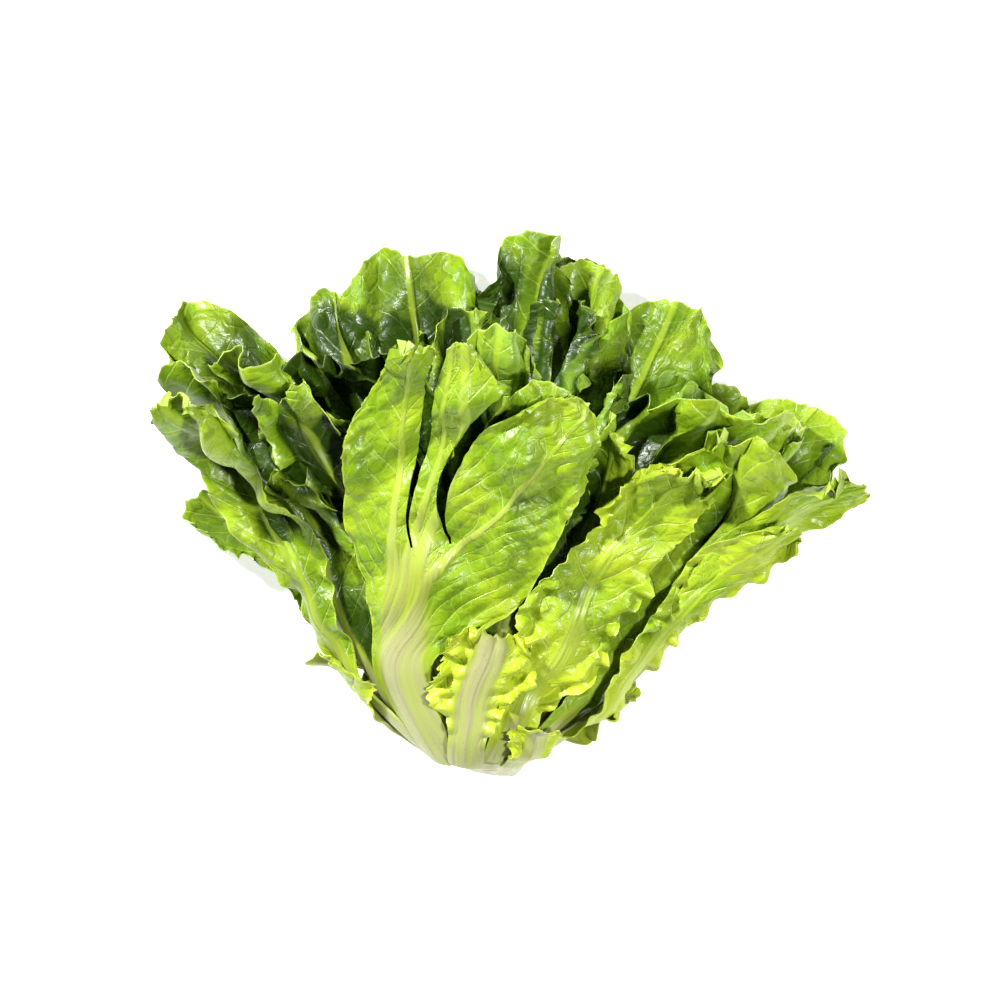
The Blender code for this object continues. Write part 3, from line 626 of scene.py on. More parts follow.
def face_outwards(mesh, sharp):
    """Turn the faces outwards and shade them smooth between sharp edges."""
    bm = bmesh.new()
    bm.from_mesh(mesh)
    if bm.calc_volume(signed=True) < 0.0:
        bmesh.ops.reverse_faces(bm, faces=bm.faces[:])
    bm.to_mesh(mesh)
    bm.free()
    mesh.shade_smooth()
    mesh.set_sharp_from_angle(angle=sharp)


print("edges stay sharp above, degrees:", round(math.degrees(LEAF_SHARP)))

# %% [markdown]
# Now the slab is bent: its points go to their place in the head, then outwards by the folds. A leaf is
# thickest along its midrib and thin as paper at its edge, and no point goes below the table.

# %% Bend a slab into a leaf
def arc(points):
    """Distance along each row of a grid of points."""
    step = np.linalg.norm(np.diff(points, axis=1), axis=-1)
    return np.cumsum(np.concatenate([np.zeros_like(step[:, :1]), step], axis=1), axis=1)


def outward(points, a, t, c):
    """Unit normals of a grid of points, turned away from the heart."""
    across = np.gradient(points, axis=1)
    along = np.gradient(points, axis=0)
    n = np.cross(across, along)
    n /= np.linalg.norm(n, axis=-1, keepdims=True) + 1e-9
    away = head_point(a, t, c + 0.02) - head_point(a, t, c)
    return n * np.sign((n * away).sum(-1).mean())


def bend(rank, name, a, t, c, slab, style, seed, rib_gap_of=None):
    """Place a slab's points on the leaf and write down what the materials need."""
    mesh, column, row, inside = slab
    points = head_point(a, t, c)
    q = arc(points)
    q = q - q[:, q.shape[1] // 2][:, None]
    edge = np.minimum(q - q[:, :1], q[:, -1:] - q)
    edge = np.minimum(edge, np.maximum(t[-1] - t, 0.0))
    taper = 1.0 - 0.72 * smooth(t, 20.0, style["rib_reach"] * t.max())
    gap, off = q / (style["rib_width"] * taper + 0.3), q
    high = 1.0 - 0.8 * smooth(t / t.max(), 0.05, 0.85)
    if rib_gap_of is not None:
        gap, high, off = rib_gap_of(a, t)
    move, climb = relief(q, t, off, gap, style, seed)
    points = points + outward(points, a, t, c) * move[..., None]
    n = outward(points, a, t, c)
    rib = style["rib"] * high * np.exp(-0.5 * gap ** 2)
    thin = style["blade"] * (0.65 + 0.35 * smooth(edge, 0.0, 6.0))
    outer = points + n * (0.5 * thin + 0.75 * rib)[..., None]
    inner = points - n * (0.5 * thin + 0.25 * rib)[..., None]
    lift = np.maximum(-np.minimum(outer[..., 2], inner[..., 2]), 0.0)
    outer[..., 2] += lift
    inner[..., 2] += lift
    co = np.where(inside[:, None], inner[row, column], outer[row, column]) * MM
    mesh.vertices.foreach_set("co", co.ravel())
    numbers = colouring(a, t, c, q, off, gap, edge, move, rank, style, seed)
    maps = {"skin": (q / 10.0, t / 10.0), "veins": (gap, climb / VEIN_SPACING)}
    write_skin(mesh, row, column, numbers, maps)
    mesh.name = name
    face_outwards(mesh, LEAF_SHARP)
    return mesh


across = head_point(np.radians(np.linspace(-90.0, 90.0, 91)), np.full(91, 150.0), 1.0)
print("outer layer, 150 mm up, from side to side, millimetres:", arc(across[None])[0, -1].round())

# %% [markdown]
# The rim of an escarole leaf has large and small teeth on lobes. A picture with a cut-out rim would be
# quick, but it has no thickness and casts a flat shadow. So the outer columns and rows of the grid are
# pushed out and in, and the teeth are real edges.

# %% Teeth and lobes, and the two kinds of leaf
ROOT_OVERLAP = 1.2          # how far a leaf's root reaches into the stem, millimetres
OUTLINE_WIDTH = 30.0        # half width for which the teeth of outlined leaves are sized, millimetres


def spread(columns, rows):
    """Where the slab's columns and rows lie: closer together near the edges."""
    x = np.linspace(-1.0, 1.0, columns + 1)
    v = x * (1.3 - 0.3 * x * x)
    y = np.linspace(0.0, 1.0, rows + 1)
    u = y + 0.10 * y * (1.0 - y)
    return np.meshgrid(v, u)


def ragged(u, v, width, length, style, seed):
    """Push a leaf's edge out into teeth and lobes; gives new u and v."""
    rim = smooth(np.abs(v), 0.62, 1.0)
    along = u * length
    big, small = style["teeth_spacing"], 0.45 * style["teeth_spacing"]
    bite = np.where(v > 0, saw(along, big, seed), saw(along, big, seed + 1))
    bite = bite + 0.4 * np.where(v > 0, saw(along, small, seed + 3), saw(along, small, seed + 4))
    lobe = ripple_field(seed + 6, 22.0, 45.0, 6)(along, np.sign(v) * 40.0)
    grown = smooth(u, 0.2, 0.5)
    v = v * (1.0 + rim * grown * (style["teeth"] * (bite - 0.4) + style["lobes"] * lobe) / width)
    tip = smooth(u, 0.86, 1.0)
    across = v * width
    bite = saw(across + 200.0, big, seed + 2) + 0.4 * saw(across + 200.0, small, seed + 5)
    lobe = ripple_field(seed + 7, 20.0, 40.0, 6)(across, 0.0 * across)
    u = u + tip * (style["teeth"] * (bite - 0.4) + 1.2 * style["lobes"] * lobe) / length
    return np.maximum(u, 0.0), v


def rooted(t):
    """Let the root reach a little into the stem."""
    return t - ROOT_OVERLAP * (1.0 - smooth(t, 0.0, 10.0))


def plain_leaf(rank, name, root, middle, tip, length, width, c, style, seed,
               rows=LEAF_ROWS, columns=LEAF_COLUMNS):
    v, u = spread(columns, rows)
    u, v = ragged(u, v, width, length, style, seed)
    v = v * (1.0 - (1.0 - style["gather"]) * smooth(u, 0.3, 0.75))
    a, t = leaf_path(u, v, c, root, middle, tip, length, width)
    return bend(rank, name, a, rooted(t), c, flat_slab(rows, columns), style, seed)


def outlined_leaf(rank, name, c, style, seed):
    """A leaf that keeps to its measured outline."""
    v, u = spread(LEAF_COLUMNS, LEAF_ROWS)
    root, half = root_azimuth(rank), math.degrees(ROOT_WIDTH)
    stations = [(root - half, 0, root + half, 0)] + OUTLINES[rank]
    u, v = ragged(u, v, OUTLINE_WIDTH, stations[-1][1], style, seed)
    a, t = between_edges(stations, u, v)
    return bend(rank, name, a, rooted(t), c, flat_slab(LEAF_ROWS, LEAF_COLUMNS), style, seed)


print("first columns of a leaf, -1 at its edge:", spread(LEAF_COLUMNS, LEAF_ROWS)[0][0, :4].round(3))

# %% [markdown]
# The big leaf in front is special: one broad pale stalk fans out into three blades. Its ribs are lines of
# their own, because they run apart from the stalk like fingers.

# %% Stalk, blades and ribs of the front leaf
FRONT_ROWS, FRONT_COLUMNS, SPLIT_ROW = 130, 88, 62
FRONT_PARTS = [(0, 31), (32, 47), (48, 88)]     # columns of the three blades
FRONT_TEETH, FRONT_LOBES = [3.0, 1.8, 1.6], 1.2
FRONT_STALK = [(-50, 0, -24, 0), (-56, 10, -20, 14), (-57, 28, -24, 30), (-52, 48, -18, 51),
               (-44, 62, -6, 59), (-40, 78, 8, 76), (-38, 93, 12, 96)]
FRONT_BLADES = [
    [(-37, 106, -20.4, 106), (-31, 128, -17.4, 128), (-27.5, 147, -14.8, 147), (-23, 162, -13.2, 165),
     (-19.5, 175, -12.0, 180), (-15.5, 187, -10.4, 189)],
    [(-19.6, 108, -12.6, 109), (-15.6, 131, -11.8, 130), (-12.8, 150, -8.2, 148), (-11.2, 170, -3.8, 165),
     (-9.6, 184, -2.0, 176), (-8.8, 191, -5.5, 188)],
    [(-11.6, 109, 13, 112), (-9.4, 127, 15, 134), (-7.6, 138, 15, 142), (-5.2, 149, 14.5, 152),
     (-3.2, 156, 14, 158), (0.5, 163, 12.5, 166), (4, 169, 11, 170.5)],
]
# ribs: (azimuth, length) points, then half width at the bottom and the top
FRONT_RIBS = [
    ([(-37, 0), (-38, 20), (-37.5, 40), (-33, 60), (-28, 82), (-24.5, 102), (-19.5, 130), (-16.5, 160),
      (-14, 185)], 9.0, 0.8),
    ([(-37, 0), (-38, 20), (-36.5, 40), (-30.5, 60), (-24.8, 82), (-19.0, 104), (-13.5, 127), (-10, 160),
      (-8, 195)], 9.0, 0.8),
    ([(-37, 0), (-37, 20), (-35, 40), (-28, 60), (-19.5, 82), (-7.5, 101), (0.5, 118), (5.5, 141),
      (11, 166)], 8.0, 0.7),
    ([(-37, 0), (-37, 20), (-36, 40), (-29, 60), (-22, 82), (-15.8, 104), (-9.8, 128), (-7.4, 150),
      (-6.5, 160)], 7.0, 1.4),
]


def front_gap(a, t):
    """The nearest rib: how many half widths away, its share of the full height, and the distance."""
    r = ring(layer_of(FRONT)) + share(layer_of(FRONT)) * flare(t)
    best, height, off = np.full(a.shape, 50.0), np.zeros(a.shape), np.zeros(a.shape)
    for line, low, high in FRONT_RIBS:
        line = np.array(line, float)
        centre = np.radians(through(line[:, 1], line[:, 0], t))
        narrowing = (low - high) * (1.0 - smooth(t, 28.0, 112.0))
        fork = 0.5 * smooth(t, 70.0, 100.0) * (1.0 - smooth(t, 105.0, 160.0))
        wide = high + narrowing + fork
        aside = (a - centre) * 0.85 * r
        gap = aside / wide
        nearer = np.abs(gap) < np.abs(best)
        best, height = np.where(nearer, gap, best), np.where(nearer, wide / low, height)
        off = np.where(nearer, aside, off)
    return best, height, off


print("blades:", len(FRONT_BLADES), "ribs:", len(FRONT_RIBS))

# %% [markdown]
# Below two slits the slab fills the stalk's outline, and above them each group of columns fills the
# outline of its blade. Along a slit the teeth are smaller, since there the leaf was torn and not grown.

# %% The front leaf
BLADE_WIDTH, BLADE_LENGTH = 24.0, 90.0      # for the size of the teeth, millimetres
SLIT_TEETH = 0.3                            # how much of the teeth is left along a slit
BLADE_RISE = 5.0                            # blades start this far above the stalk, millimetres


def stalk_top(x):
    """Azimuth and length along the top of the stalk, x from 0 at its left to 1 at its right."""
    left, left_length, right, right_length = FRONT_STALK[-1]
    return left + (right - left) * x, left_length + (right_length - left_length) * x + BLADE_RISE


def front_leaf(name, style, seed):
    rows, columns = FRONT_ROWS, FRONT_COLUMNS
    slab = flat_slab(rows, columns, [(last, SPLIT_ROW) for _, last in FRONT_PARTS[:-1]])
    i = np.arange(rows + 1)[:, None] * np.ones((1, columns + 1))
    j = np.arange(columns + 1)[None, :] * np.ones((rows + 1, 1))
    a, t = between_edges(FRONT_STALK, np.clip(i / SPLIT_ROW, 0.0, 1.0), 2.0 * (j / columns) - 1.0)
    for k, ((first, last), stations) in enumerate(zip(FRONT_PARTS, FRONT_BLADES)):
        here = (j >= first) & (j <= last) & (i >= SPLIT_ROW)
        start = (*stalk_top(first / columns), *stalk_top(last / columns))
        w = np.clip((i - SPLIT_ROW) / (rows - SPLIT_ROW), 0.0, 1.0)
        v = 2.0 * np.clip((j - first) / (last - first), 0.0, 1.0) - 1.0
        edge_style = {**style, "teeth": FRONT_TEETH[k], "lobes": FRONT_LOBES}
        w2, v2 = ragged(w, v, BLADE_WIDTH, BLADE_LENGTH, edge_style, seed + 20 * k)
        at_slit = ((k < 2) & (v > 0.0)) | ((k > 0) & (v < 0.0))
        v2 = v + (v2 - v) * np.where(at_slit, SLIT_TEETH, 1.0) * smooth(w, 0.2, 0.6)
        blade_a, blade_t = between_edges([start] + stations, np.clip(w2, 0.0, 1.1), v2)
        a = np.where(here, blade_a, a)
        t = np.where(here, blade_t, t)
    return bend(FRONT, name, a, rooted(t), layer_of(FRONT), slab, style, seed, front_gap)


print("top of the stalk, degrees and millimetres:", stalk_top(0.0), "to", stalk_top(1.0))

# %% [markdown]
# Every leaf is made in one loop, from the outermost to the innermost. Each is a piece of its own that
# takes the place of one plain solid, so it can still be plucked on its own.

# %% Make every leaf
LEAF_SEED, SEED_STEP = 1000, 50


def hand_over(piece, node):
    """Let a piece ride on the head and stand in for one of its solids."""
    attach(piece, "root")
    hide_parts(node)
    return piece


def new_object(name, mesh):
    thing = bpy.data.objects.new(name, mesh)
    bpy.context.scene.collection.objects.link(thing)
    return thing


pieces = {}
for rank in sorted(list(LEAVES) + [FRONT]):
    node = f"leaf_{rank + 1:02d}"
    name = f"fine_{node}"
    style = style_of(rank)
    seed = LEAF_SEED + SEED_STEP * rank
    if rank == FRONT:
        mesh = front_leaf(name, style, seed)
    elif rank in OUTLINES:
        mesh = outlined_leaf(rank, name, layer_of(rank, LEAVES[rank][4]), style, seed)
    else:
        middle, tip, length, width, nudge = LEAVES[rank]
        mesh = plain_leaf(rank, name, root_azimuth(rank), middle, tip, length, width,
                          layer_of(rank, nudge), style, seed)
    pieces[node] = hand_over(new_object(name, mesh), node)
print("leaves made:", len(pieces), "with", sum(len(p.data.polygons) for p in pieces.values()), "faces")

# %% [markdown]
# In the heart the leaves are small, pale and close together. They are made like the others, on a coarser
# grid since little of them shows, and joined, since nobody parts them.

# %% The heart
HEART_ROWS, HEART_COLUMNS, HEART_SEED = 70, 24, 7000
HEART_STYLE = {**PLAIN, **dict(ripple=2.5, ripple_length=15.0, pleat=1.5, pleat_width=14.0, crumple=0.8,
                               swell=0.6, teeth=1.5, teeth_spacing=5.0, lobes=1.5, rib=1.2, rib_width=2.5,
                               curl=0.0, pale=(60.0, 130.0), tone=0.7)}
# small leaves of the heart (azimuth, length, half width, layer)
HEART = [
    (20, 150, 17, 0.215), (-118, 156, 17, 0.200), (105, 150, 16, 0.185), (-30, 146, 15, 0.165),
    (190, 152, 15, 0.140), (60, 138, 13, 0.115), (-80, 134, 12, 0.085),
]

heart_parts = []
for i, (azimuth, length, width, c) in enumerate(HEART):
    mesh = plain_leaf(None, f"heart_leaf_{i}", azimuth, azimuth, azimuth, length, width, c, HEART_STYLE,
                      HEART_SEED + SEED_STEP * i, HEART_ROWS, HEART_COLUMNS)
    heart_parts.append(new_object(mesh.name, mesh))
with bpy.context.temp_override(active_object=heart_parts[0], selected_editable_objects=heart_parts):
    bpy.ops.object.join()
heart = heart_parts[0]
heart.name = heart.data.name = "fine_heart"
pieces["heart"] = hand_over(heart, "heart")
print("heart faces:", len(heart.data.polygons))

# %% [markdown]
# The stem was cut off with a knife right under the leaves. It starts as a round blank, a bmesh cylinder
# whose wall is cut into rings and whose ends are inset many times, because an end made of one large face
# could not be dented.

# %% A round blank for the stem
STEM_SEGMENTS, STEM_STEPS, STEM_INSETS = 144, 16, 26
INSET_SHARE = 0.97          # how far the insets reach from the rim towards the middle

bm = bmesh.new()
bmesh.ops.create_cone(bm, cap_ends=True, segments=STEM_SEGMENTS, radius1=1.0, radius2=1.0, depth=1.0)
standing = [e for e in bm.edges if abs(e.verts[0].co.z - e.verts[1].co.z) > 0.5]
bmesh.ops.subdivide_edges(bm, edges=standing, cuts=STEM_STEPS, use_grid_fill=True)
for z in (-0.5, 0.5):
    cap = [f for f in bm.faces if len(f.verts) == STEM_SEGMENTS and abs(f.calc_center_median().z - z) < 0.1]
    for _ in range(STEM_INSETS):
        bmesh.ops.inset_region(bm, faces=cap, thickness=INSET_SHARE / STEM_INSETS, use_even_offset=False)
stem_mesh = bpy.data.meshes.new("fine_stem")
bm.to_mesh(stem_mesh)
bm.free()
print("points of the blank:", len(stem_mesh.vertices))

# %% [markdown]
# The blank is shaped as a whole: narrower towards the cut, a little out of round, with a slanting end.
# That end shows the crowded bases of the outer leaves round a juicy core, made as dents that wind
# outwards.

# %% Shape the stem
STEM_RADIUS, STEM_LENGTH, STEM_GAP = 23.5, 7.0, 0.4
CUT_SLOPE, CUT_LEAN = 0.08, 0.16
DENT_DEPTH, RIM_HEIGHT = 0.9, 0.8
STEM_SHARP = math.radians(50.0)

co = points_of(stem_mesh)
angle = np.arctan2(co[:, 0], co[:, 1])
radius = np.hypot(co[:, 0], co[:, 1])
depth = 0.5 - co[:, 2]
narrowing = through([0.0, 0.35, 0.75, 0.93, 1.0], [1.0, 0.97, 0.87, 0.80, 0.74], depth)
at_end = smooth(depth, 0.9, 1.0)
wobble = 1.0 + 0.035 * np.sin(3.0 * angle + 0.6) + 0.02 * np.sin(7.0 * angle)
wobble = wobble + 0.012 * np.sin(17.0 * angle + 1.0)
scales = np.sin(CIRCLE * (5.0 * angle / CIRCLE + 3.2 * radius))
dent = DENT_DEPTH * np.clip(scales, -0.2, 1.0) * smooth(radius, 0.35, 0.6) * at_end
grain = ripple_field(88, 2.5, 7.0, 20)(co[:, 0] * STEM_RADIUS + 40.0 * depth, co[:, 1] * STEM_RADIUS)
r = STEM_RADIUS * narrowing * radius * wobble + 0.25 * grain
x, z = r * np.sin(angle), r * np.cos(angle)
slanting = STEM_LENGTH - CUT_SLOPE * z + CUT_LEAN * x
y = -STEM_GAP - depth * slanting + dent + 0.2 * grain * at_end
y = y + RIM_HEIGHT * (smooth(radius, 0.9, 1.0) * at_end)
placed = turn(np.stack([x, y, z], -1)) + SHIFT
placed[:, 2] = np.maximum(placed[:, 2], 0.0)
stem_mesh.vertices.foreach_set("co", (placed * MM).ravel())
for label, values in (("cut", smooth(depth, 0.96, 1.0)), ("radius", radius)):
    stem_mesh.attributes.new(label, "FLOAT", "POINT").data.foreach_set("value", values.astype(np.float32))
face_outwards(stem_mesh, STEM_SHARP)
pieces["stem"] = hand_over(new_object("fine_stem", stem_mesh), "stem")
print("stem faces:", len(stem_mesh.polygons))

# %% [markdown]
# A material is a tree of nodes, and one of many sums is hard to read when every node and link is a line
# of its own. A small class wraps a socket, so that the shader's maths reads like ordinary maths, and one
# function adds every node.

# %% A way to write shader maths
def add_node(tree, kind, settings, sockets, output=0):
    """Add a node: its settings first, then a number or a link for each socket, by name or place."""
    node = tree.nodes.new(kind)
    for key, value in settings.items():
        setattr(node, key, value)
    for key, value in sockets.items():
        if isinstance(value, Value):
            tree.links.new(value.socket, node.inputs[key])
        else:
            node.inputs[key].default_value = value
    return Value(tree, node.outputs[output])


class Value:
    """A socket that can be added, multiplied and so on."""

    def __init__(self, tree, socket):
        self.tree, self.socket = tree, socket

    def math(self, operation, *others):
        sockets = dict(enumerate((self, *others)))
        return add_node(self.tree, "ShaderNodeMath", {"operation": operation}, sockets)

    def __add__(self, other):
        return self.math("ADD", other)

    def __mul__(self, other):
        return self.math("MULTIPLY", other)

    def __sub__(self, other):
        return self.math("SUBTRACT", other)

    def __rsub__(self, other):
        return (self * -1.0) + other

    __radd__, __rmul__ = __add__, __mul__

    def step(self, lo, hi):
        """0 below lo, 1 above hi, or the other way round when lo is larger."""
        start, end = (0.0, 1.0) if lo < hi else (1.0, 0.0)
        return add_node(self.tree, "ShaderNodeMapRange", {"interpolation_type": "SMOOTHSTEP"},
                        {"Value": self, "From Min": min(lo, hi), "From Max": max(lo, hi),
                         "To Min": start, "To Max": end}, "Result")


print("a value can be:", [word.strip("_") for word in vars(Value) if callable(vars(Value)[word])])

# %% [markdown]
# A maker holds one material. Its short forms stand for the mixes, noises and cells that a leaf's skin is
# made of.

# %% A maker of materials
class Maker:
    def __init__(self, name):
        self.material = bpy.data.materials.new(name)
        self.material.use_nodes = True
        self.tree = self.material.node_tree
        self.tree.nodes.clear()

    def node(self, kind, settings=None, output=0, **inputs):
        """Add a node; an underscore in a socket's name stands for a space."""
        sockets = {key.replace("_", " "): value for key, value in inputs.items()}
        return add_node(self.tree, kind, settings or {}, sockets, output)

    def attribute(self, name):
        return self.node("ShaderNodeAttribute", {"attribute_name": name}, "Fac")

    def mix(self, factor, a, b):
        """Colour a where the factor is 0, b where it is 1; sockets 6 and 7 are the node's two colours."""
        a, b = (x if isinstance(x, Value) else (*x, 1.0) for x in (a, b))
        return add_node(self.tree, "ShaderNodeMix", {"data_type": "RGBA"}, {0: factor, 6: a, 7: b}, 2)

    def vector(self, operation, first, second):
        return add_node(self.tree, "ShaderNodeVectorMath", {"operation": operation}, {0: first, 1: second})

    def noise(self, where, scale, detail=2.0, kind="2D", output="Fac"):
        return self.node("ShaderNodeTexNoise", {"noise_dimensions": kind}, output,
                         Vector=where, Scale=scale, Detail=detail)

    def cells(self, where, scale, feature="DISTANCE_TO_EDGE"):
        settings = {"voronoi_dimensions": "2D", "feature": feature}
        return self.node("ShaderNodeTexVoronoi", settings, "Distance", Vector=where, Scale=scale)

    def finish(self, shader):
        out = self.tree.nodes.new("ShaderNodeOutputMaterial")
        self.tree.links.new(shader.socket, out.inputs["Surface"])
        return self.material


print("a maker can make:", [word for word in vars(Maker) if not word.startswith("_")])

# %% [markdown]
# A leaf's green is not one colour. A photograph of a leaf would show it too, but only as sharp as it was
# taken and with its own light in it. Patterns have neither fault: clouds of three sizes, two nets of
# veins, side veins, ribs, specks, and the cords of the stalk.

# %% Patterns of a leaf's skin
def skin_patterns(m):
    """The patterns that the colour and the bumps of a leaf share."""
    p = SimpleNamespace()
    skin = m.node("ShaderNodeUVMap", {"uv_map": "skin"})
    veins = m.node("ShaderNodeSeparateXYZ", None, 0, Vector=m.node("ShaderNodeUVMap", {"uv_map": "veins"}))
    gap = veins.math("ABSOLUTE")
    climb = Value(m.tree, veins.socket.node.outputs[1])
    p.pale, p.tone, p.edge, p.white = (m.attribute(x) for x in ("pale", "tone", "edge", "whiteness"))
    p.drift, p.mottle, p.fine = m.noise(skin, 0.45, 3.0), m.noise(skin, 2.2, 3.0), m.noise(skin, 9.0, 2.0)
    wander = m.noise(skin, 1.6, 1.0, output="Color")
    bent = m.vector("ADD", skin, m.vector("MULTIPLY", wander, (0.55, 0.55, 0.55)))
    p.wide_net, p.fine_net = m.cells(bent, 1.35), m.cells(bent, 3.6)
    side_vein = (climb + p.drift * 0.2).math("FRACT").math("SUBTRACT", 0.5).math("ABSOLUTE")
    p.side_vein = side_vein.step(0.44, 0.495) * gap.step(16.0, 4.0)
    p.rib = gap.step(1.35, 0.65)
    p.specks = m.cells(skin, 2.4, "F1").step(0.055, 0.03) * p.drift.step(0.48, 0.58)
    p.stripes = m.noise(m.vector("MULTIPLY", skin, (9.0, 0.5, 1.0)), 1.0, 1.0)
    p.cords = m.noise(m.vector("MULTIPLY", skin, (2.6, 0.10, 1.0)), 1.0, 1.0)
    p.bare = (1.0 - p.pale.step(0.1, 0.7)) * (1.0 - p.rib)
    return p


trial = Maker("trial")
print("patterns:", sorted(vars(skin_patterns(trial))))
bpy.data.materials.remove(trial.material)

# %% [markdown]
# The patterns mix the greens one over the other and raise the skin between the veins. The waxy skin is
# fairly smooth, and its small bumps break the light up into the glints of a wet leaf.

# %% Leaf material
DARK_GREEN_AND_SHADE, MID_GREEN, LIGHT_GREEN = (0.022, 0.056, 0.001), (0.176, 0.318, 0.005), (0.400, 0.545, 0.024)
YELLOW_GREEN, VEIN_GREEN, EDGE_GREEN = (0.445, 0.550, 0.020), (0.440, 0.570, 0.075), (0.480, 0.620, 0.080)
STALK_GREEN, RIB_CREAM, ROOT_WHITE = (0.240, 0.280, 0.031), (0.450, 0.510, 0.120), (0.375, 0.373, 0.178)
INNER_GREEN, HEART_GREEN, SPECK_BROWN = (0.230, 0.400, 0.040), (0.400, 0.520, 0.080), (0.030, 0.035, 0.008)


def leaf_colour(m, p, base):
    """The green of the blade with its veins, and the pale ribs and root over it."""
    # lit is low where the tone is low, in the painted shade, so the veins fade there
    lit = p.tone.step(-1.1, 0.0) * 0.85 + 0.15
    net = p.wide_net.step(0.05, 0.0)
    green = base
    # dark green comes in twice: in random mottles, and where the tone is below 0, partly as painted shade
    for share_of_it, colour in (
            (p.drift.step(0.35, 0.75) * 0.6, LIGHT_GREEN), (p.mottle.step(0.40, 0.75) * 0.3, DARK_GREEN_AND_SHADE),
            (p.tone.step(0.0, 1.2), YELLOW_GREEN), (p.tone.step(0.0, -1.0), DARK_GREEN_AND_SHADE),
            (net * lit * 0.30, VEIN_GREEN), (p.fine_net.step(0.08, 0.0) * lit * 0.12, VEIN_GREEN),
            (p.side_vein * lit * 0.50, VEIN_GREEN), (p.edge.step(1.0, 0.1) * lit * 0.55, EDGE_GREEN),
            (p.rib * p.white * 0.85, RIB_CREAM)):
        green = m.mix(share_of_it, green, colour)
    root = m.mix(p.pale.step(0.55, 1.0), STALK_GREEN, ROOT_WHITE)
    paleness = p.pale * 0.75 + p.rib * p.pale * 0.6 + net * p.pale * 0.2
    colour = m.mix(paleness.step(0.15, 0.95), green, root)
    colour = m.mix(p.rib * p.white * p.pale.step(0.9, 0.3) * 0.6, colour, RIB_CREAM)
    colour = m.mix(p.specks * 0.8, colour, SPECK_BROWN)
    lines = p.stripes.step(0.35, 0.65) * 0.12 + p.cords.step(0.6, 0.4) * 0.35
    return m.mix((1.0 - p.bare) * lines, colour, LIGHT_GREEN)


def leaf_material(name, base):
    m = Maker(name)
    p = skin_patterns(m)
    height = p.wide_net.step(0.0, 0.25) * 0.40 + p.fine_net.step(0.0, 0.2) * 0.08 - p.side_vein * 0.5
    height = height * p.bare + (p.fine * 0.16 + p.mottle * 0.35) * p.bare
    height = height + (p.stripes * 0.35 + p.cords * 2.0) * (1.0 - p.bare)
    bump = m.node("ShaderNodeBump", None, 0, Strength=0.7, Distance=0.0008, Height=height)
    rough = p.fine * 0.28 + p.mottle * 0.24 + 0.11
    return m.finish(m.node("ShaderNodeBsdfPrincipled", None, 0, Base_Color=leaf_colour(m, p, base),
                           Roughness=rough, Normal=bump, IOR=1.45, Specular_IOR_Level=0.5))


kinds = {
    "outer": leaf_material("leaf_green", MID_GREEN),
    "inner": leaf_material("leaf_inner", INNER_GREEN),
    "heart": leaf_material("leaf_heart", HEART_GREEN),
}
print("leaf materials:", [kind.name for kind in kinds.values()])

# %% [markdown]
# The cut stem is pale, juicy flesh that lets a little light in, so it gets some subsurface scattering,
# where plain paint would look like chalk. The rim of the cut has dried and turned rusty in patches.

# %% Stem material, and materials for all pieces
WALL_PALE, WALL_GREEN = (0.58, 0.57, 0.42), (0.48, 0.49, 0.27)
CORE_PALE, CUT_GREEN, RUST = (0.60, 0.58, 0.42), (0.54, 0.53, 0.32), (0.22, 0.085, 0.03)
FIRST_INNER = 37            # from this leaf on the leaves are a lighter green


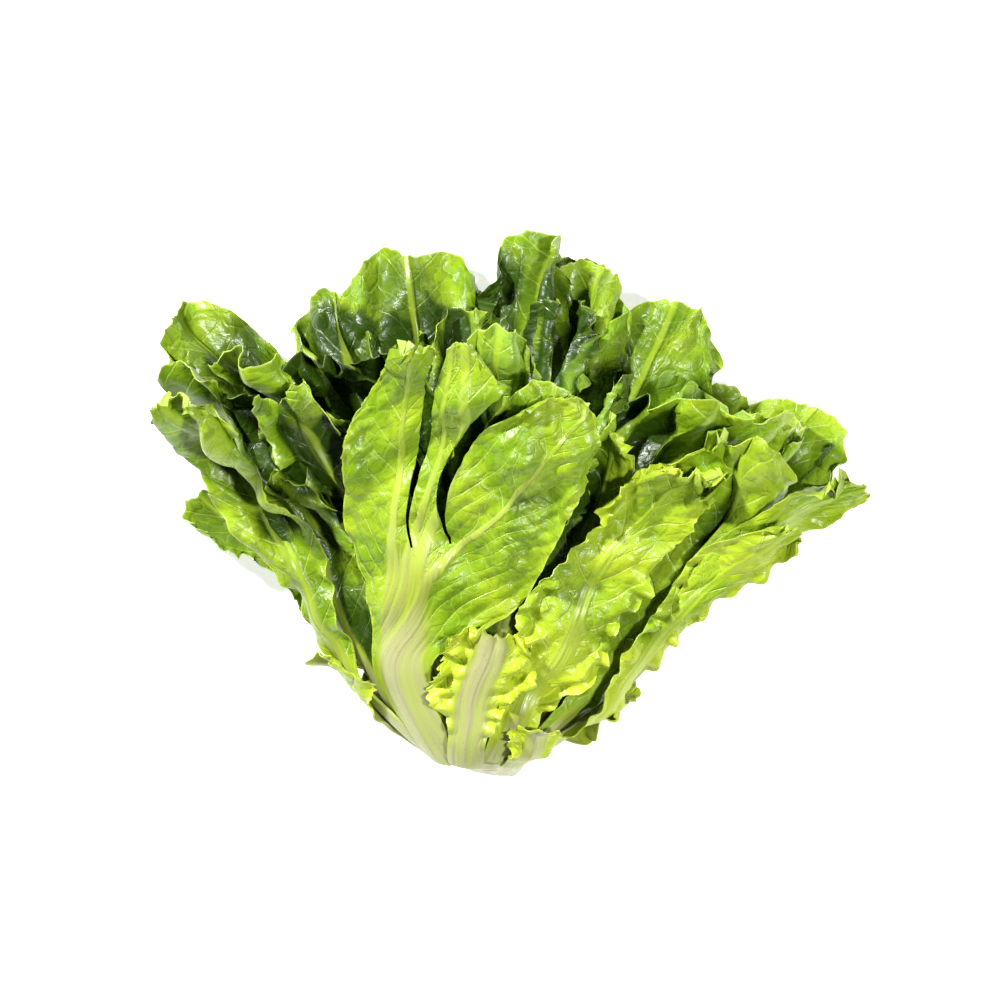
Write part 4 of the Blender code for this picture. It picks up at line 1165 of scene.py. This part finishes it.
def stem_material():
    m = Maker("stem_flesh")
    place = m.node("ShaderNodeTexCoord", None, "Object")
    cut, radius = m.attribute("cut"), m.attribute("radius")
    cloud = m.noise(place, 120.0, 3.0, "3D")
    grain = m.noise(place, 900.0, 2.0, "3D")
    colour = m.mix(cloud.step(0.35, 0.7), WALL_PALE, WALL_GREEN)
    flesh = m.mix(radius.step(0.35, 0.6), CORE_PALE, CUT_GREEN)
    colour = m.mix(cut, colour, flesh)
    rust = cut * radius.step(0.72, 0.98) * m.noise(place, 260.0, 3.0, "3D").step(0.50, 0.68)
    colour = m.mix(rust * 0.75, colour, RUST)
    bump = m.node("ShaderNodeBump", None, 0, Strength=0.5, Distance=0.0006, Height=grain * 0.4 + cloud)
    return m.finish(m.node("ShaderNodeBsdfPrincipled", None, 0, Base_Color=colour, Normal=bump,
                           Roughness=grain * 0.2 + 0.35, Subsurface_Weight=0.3, Subsurface_Scale=0.002,
                           Subsurface_Radius=(1.0, 0.9, 0.5), Coat_Weight=0.15, Coat_Roughness=0.25))


kinds["stem"] = stem_material()
for node, piece in pieces.items():
    kind = node if node in kinds else "inner" if int(node[-2:]) >= FIRST_INNER else "outer"
    piece.data.materials.append(kinds[kind])
print("materials:", sorted({piece.data.materials[0].name for piece in pieces.values()}))

# %% [markdown]
# The head lies on a plain pale table. A small strong lamp at the upper left of the picture gives the
# glints, a weaker one fills in from the right, and the table glows a little, so that it is as white as in
# the picture.

# %% Table and light
TABLE_SIZE, TABLE_GLOW, WORLD_LIGHT = 12.0, 0.72, 0.04

floor_mesh = bpy.data.meshes.new("table_top")
bm = bmesh.new()
bmesh.ops.create_grid(bm, x_segments=1, y_segments=1, size=TABLE_SIZE)
bm.to_mesh(floor_mesh)
bm.free()
paper = Maker("white_table")
floor_mesh.materials.append(paper.finish(paper.node("ShaderNodeBsdfPrincipled", None, 0,
                                                    Base_Color=(0.86, 0.86, 0.85, 1.0), Roughness=0.7,
                                                    Emission_Color=(1.0, 1.0, 1.0, 1.0),
                                                    Emission_Strength=TABLE_GLOW)))
floor = new_object("table_top", floor_mesh)


def area_light(name, place, power, size, target=(0.0, 0.0, 0.05)):
    """A round lamp of some watts that looks at the head."""
    light = bpy.data.lights.new(name, "AREA")
    light.shape = "DISK"
    light.size = size
    light.energy = power
    lamp = new_object(name, light)
    lamp.location = place
    lamp.rotation_euler = (Vector(target) - Vector(place)).to_track_quat("-Z", "Y").to_euler()


area_light("key_light", (-1.05, 0.85, 1.10), 55.0, 0.20)
area_light("right_light", (0.90, -0.35, 1.60), 33.0, 0.25)
world = bpy.data.worlds.new("studio")
world.use_nodes = True
background = world.node_tree.nodes["Background"].inputs
background["Color"].default_value = (1.0, 1.0, 1.0, 1.0)
background["Strength"].default_value = WORLD_LIGHT
bpy.context.scene.world = world
bpy.context.scene.view_settings.view_transform = "Standard"

# %% [markdown]
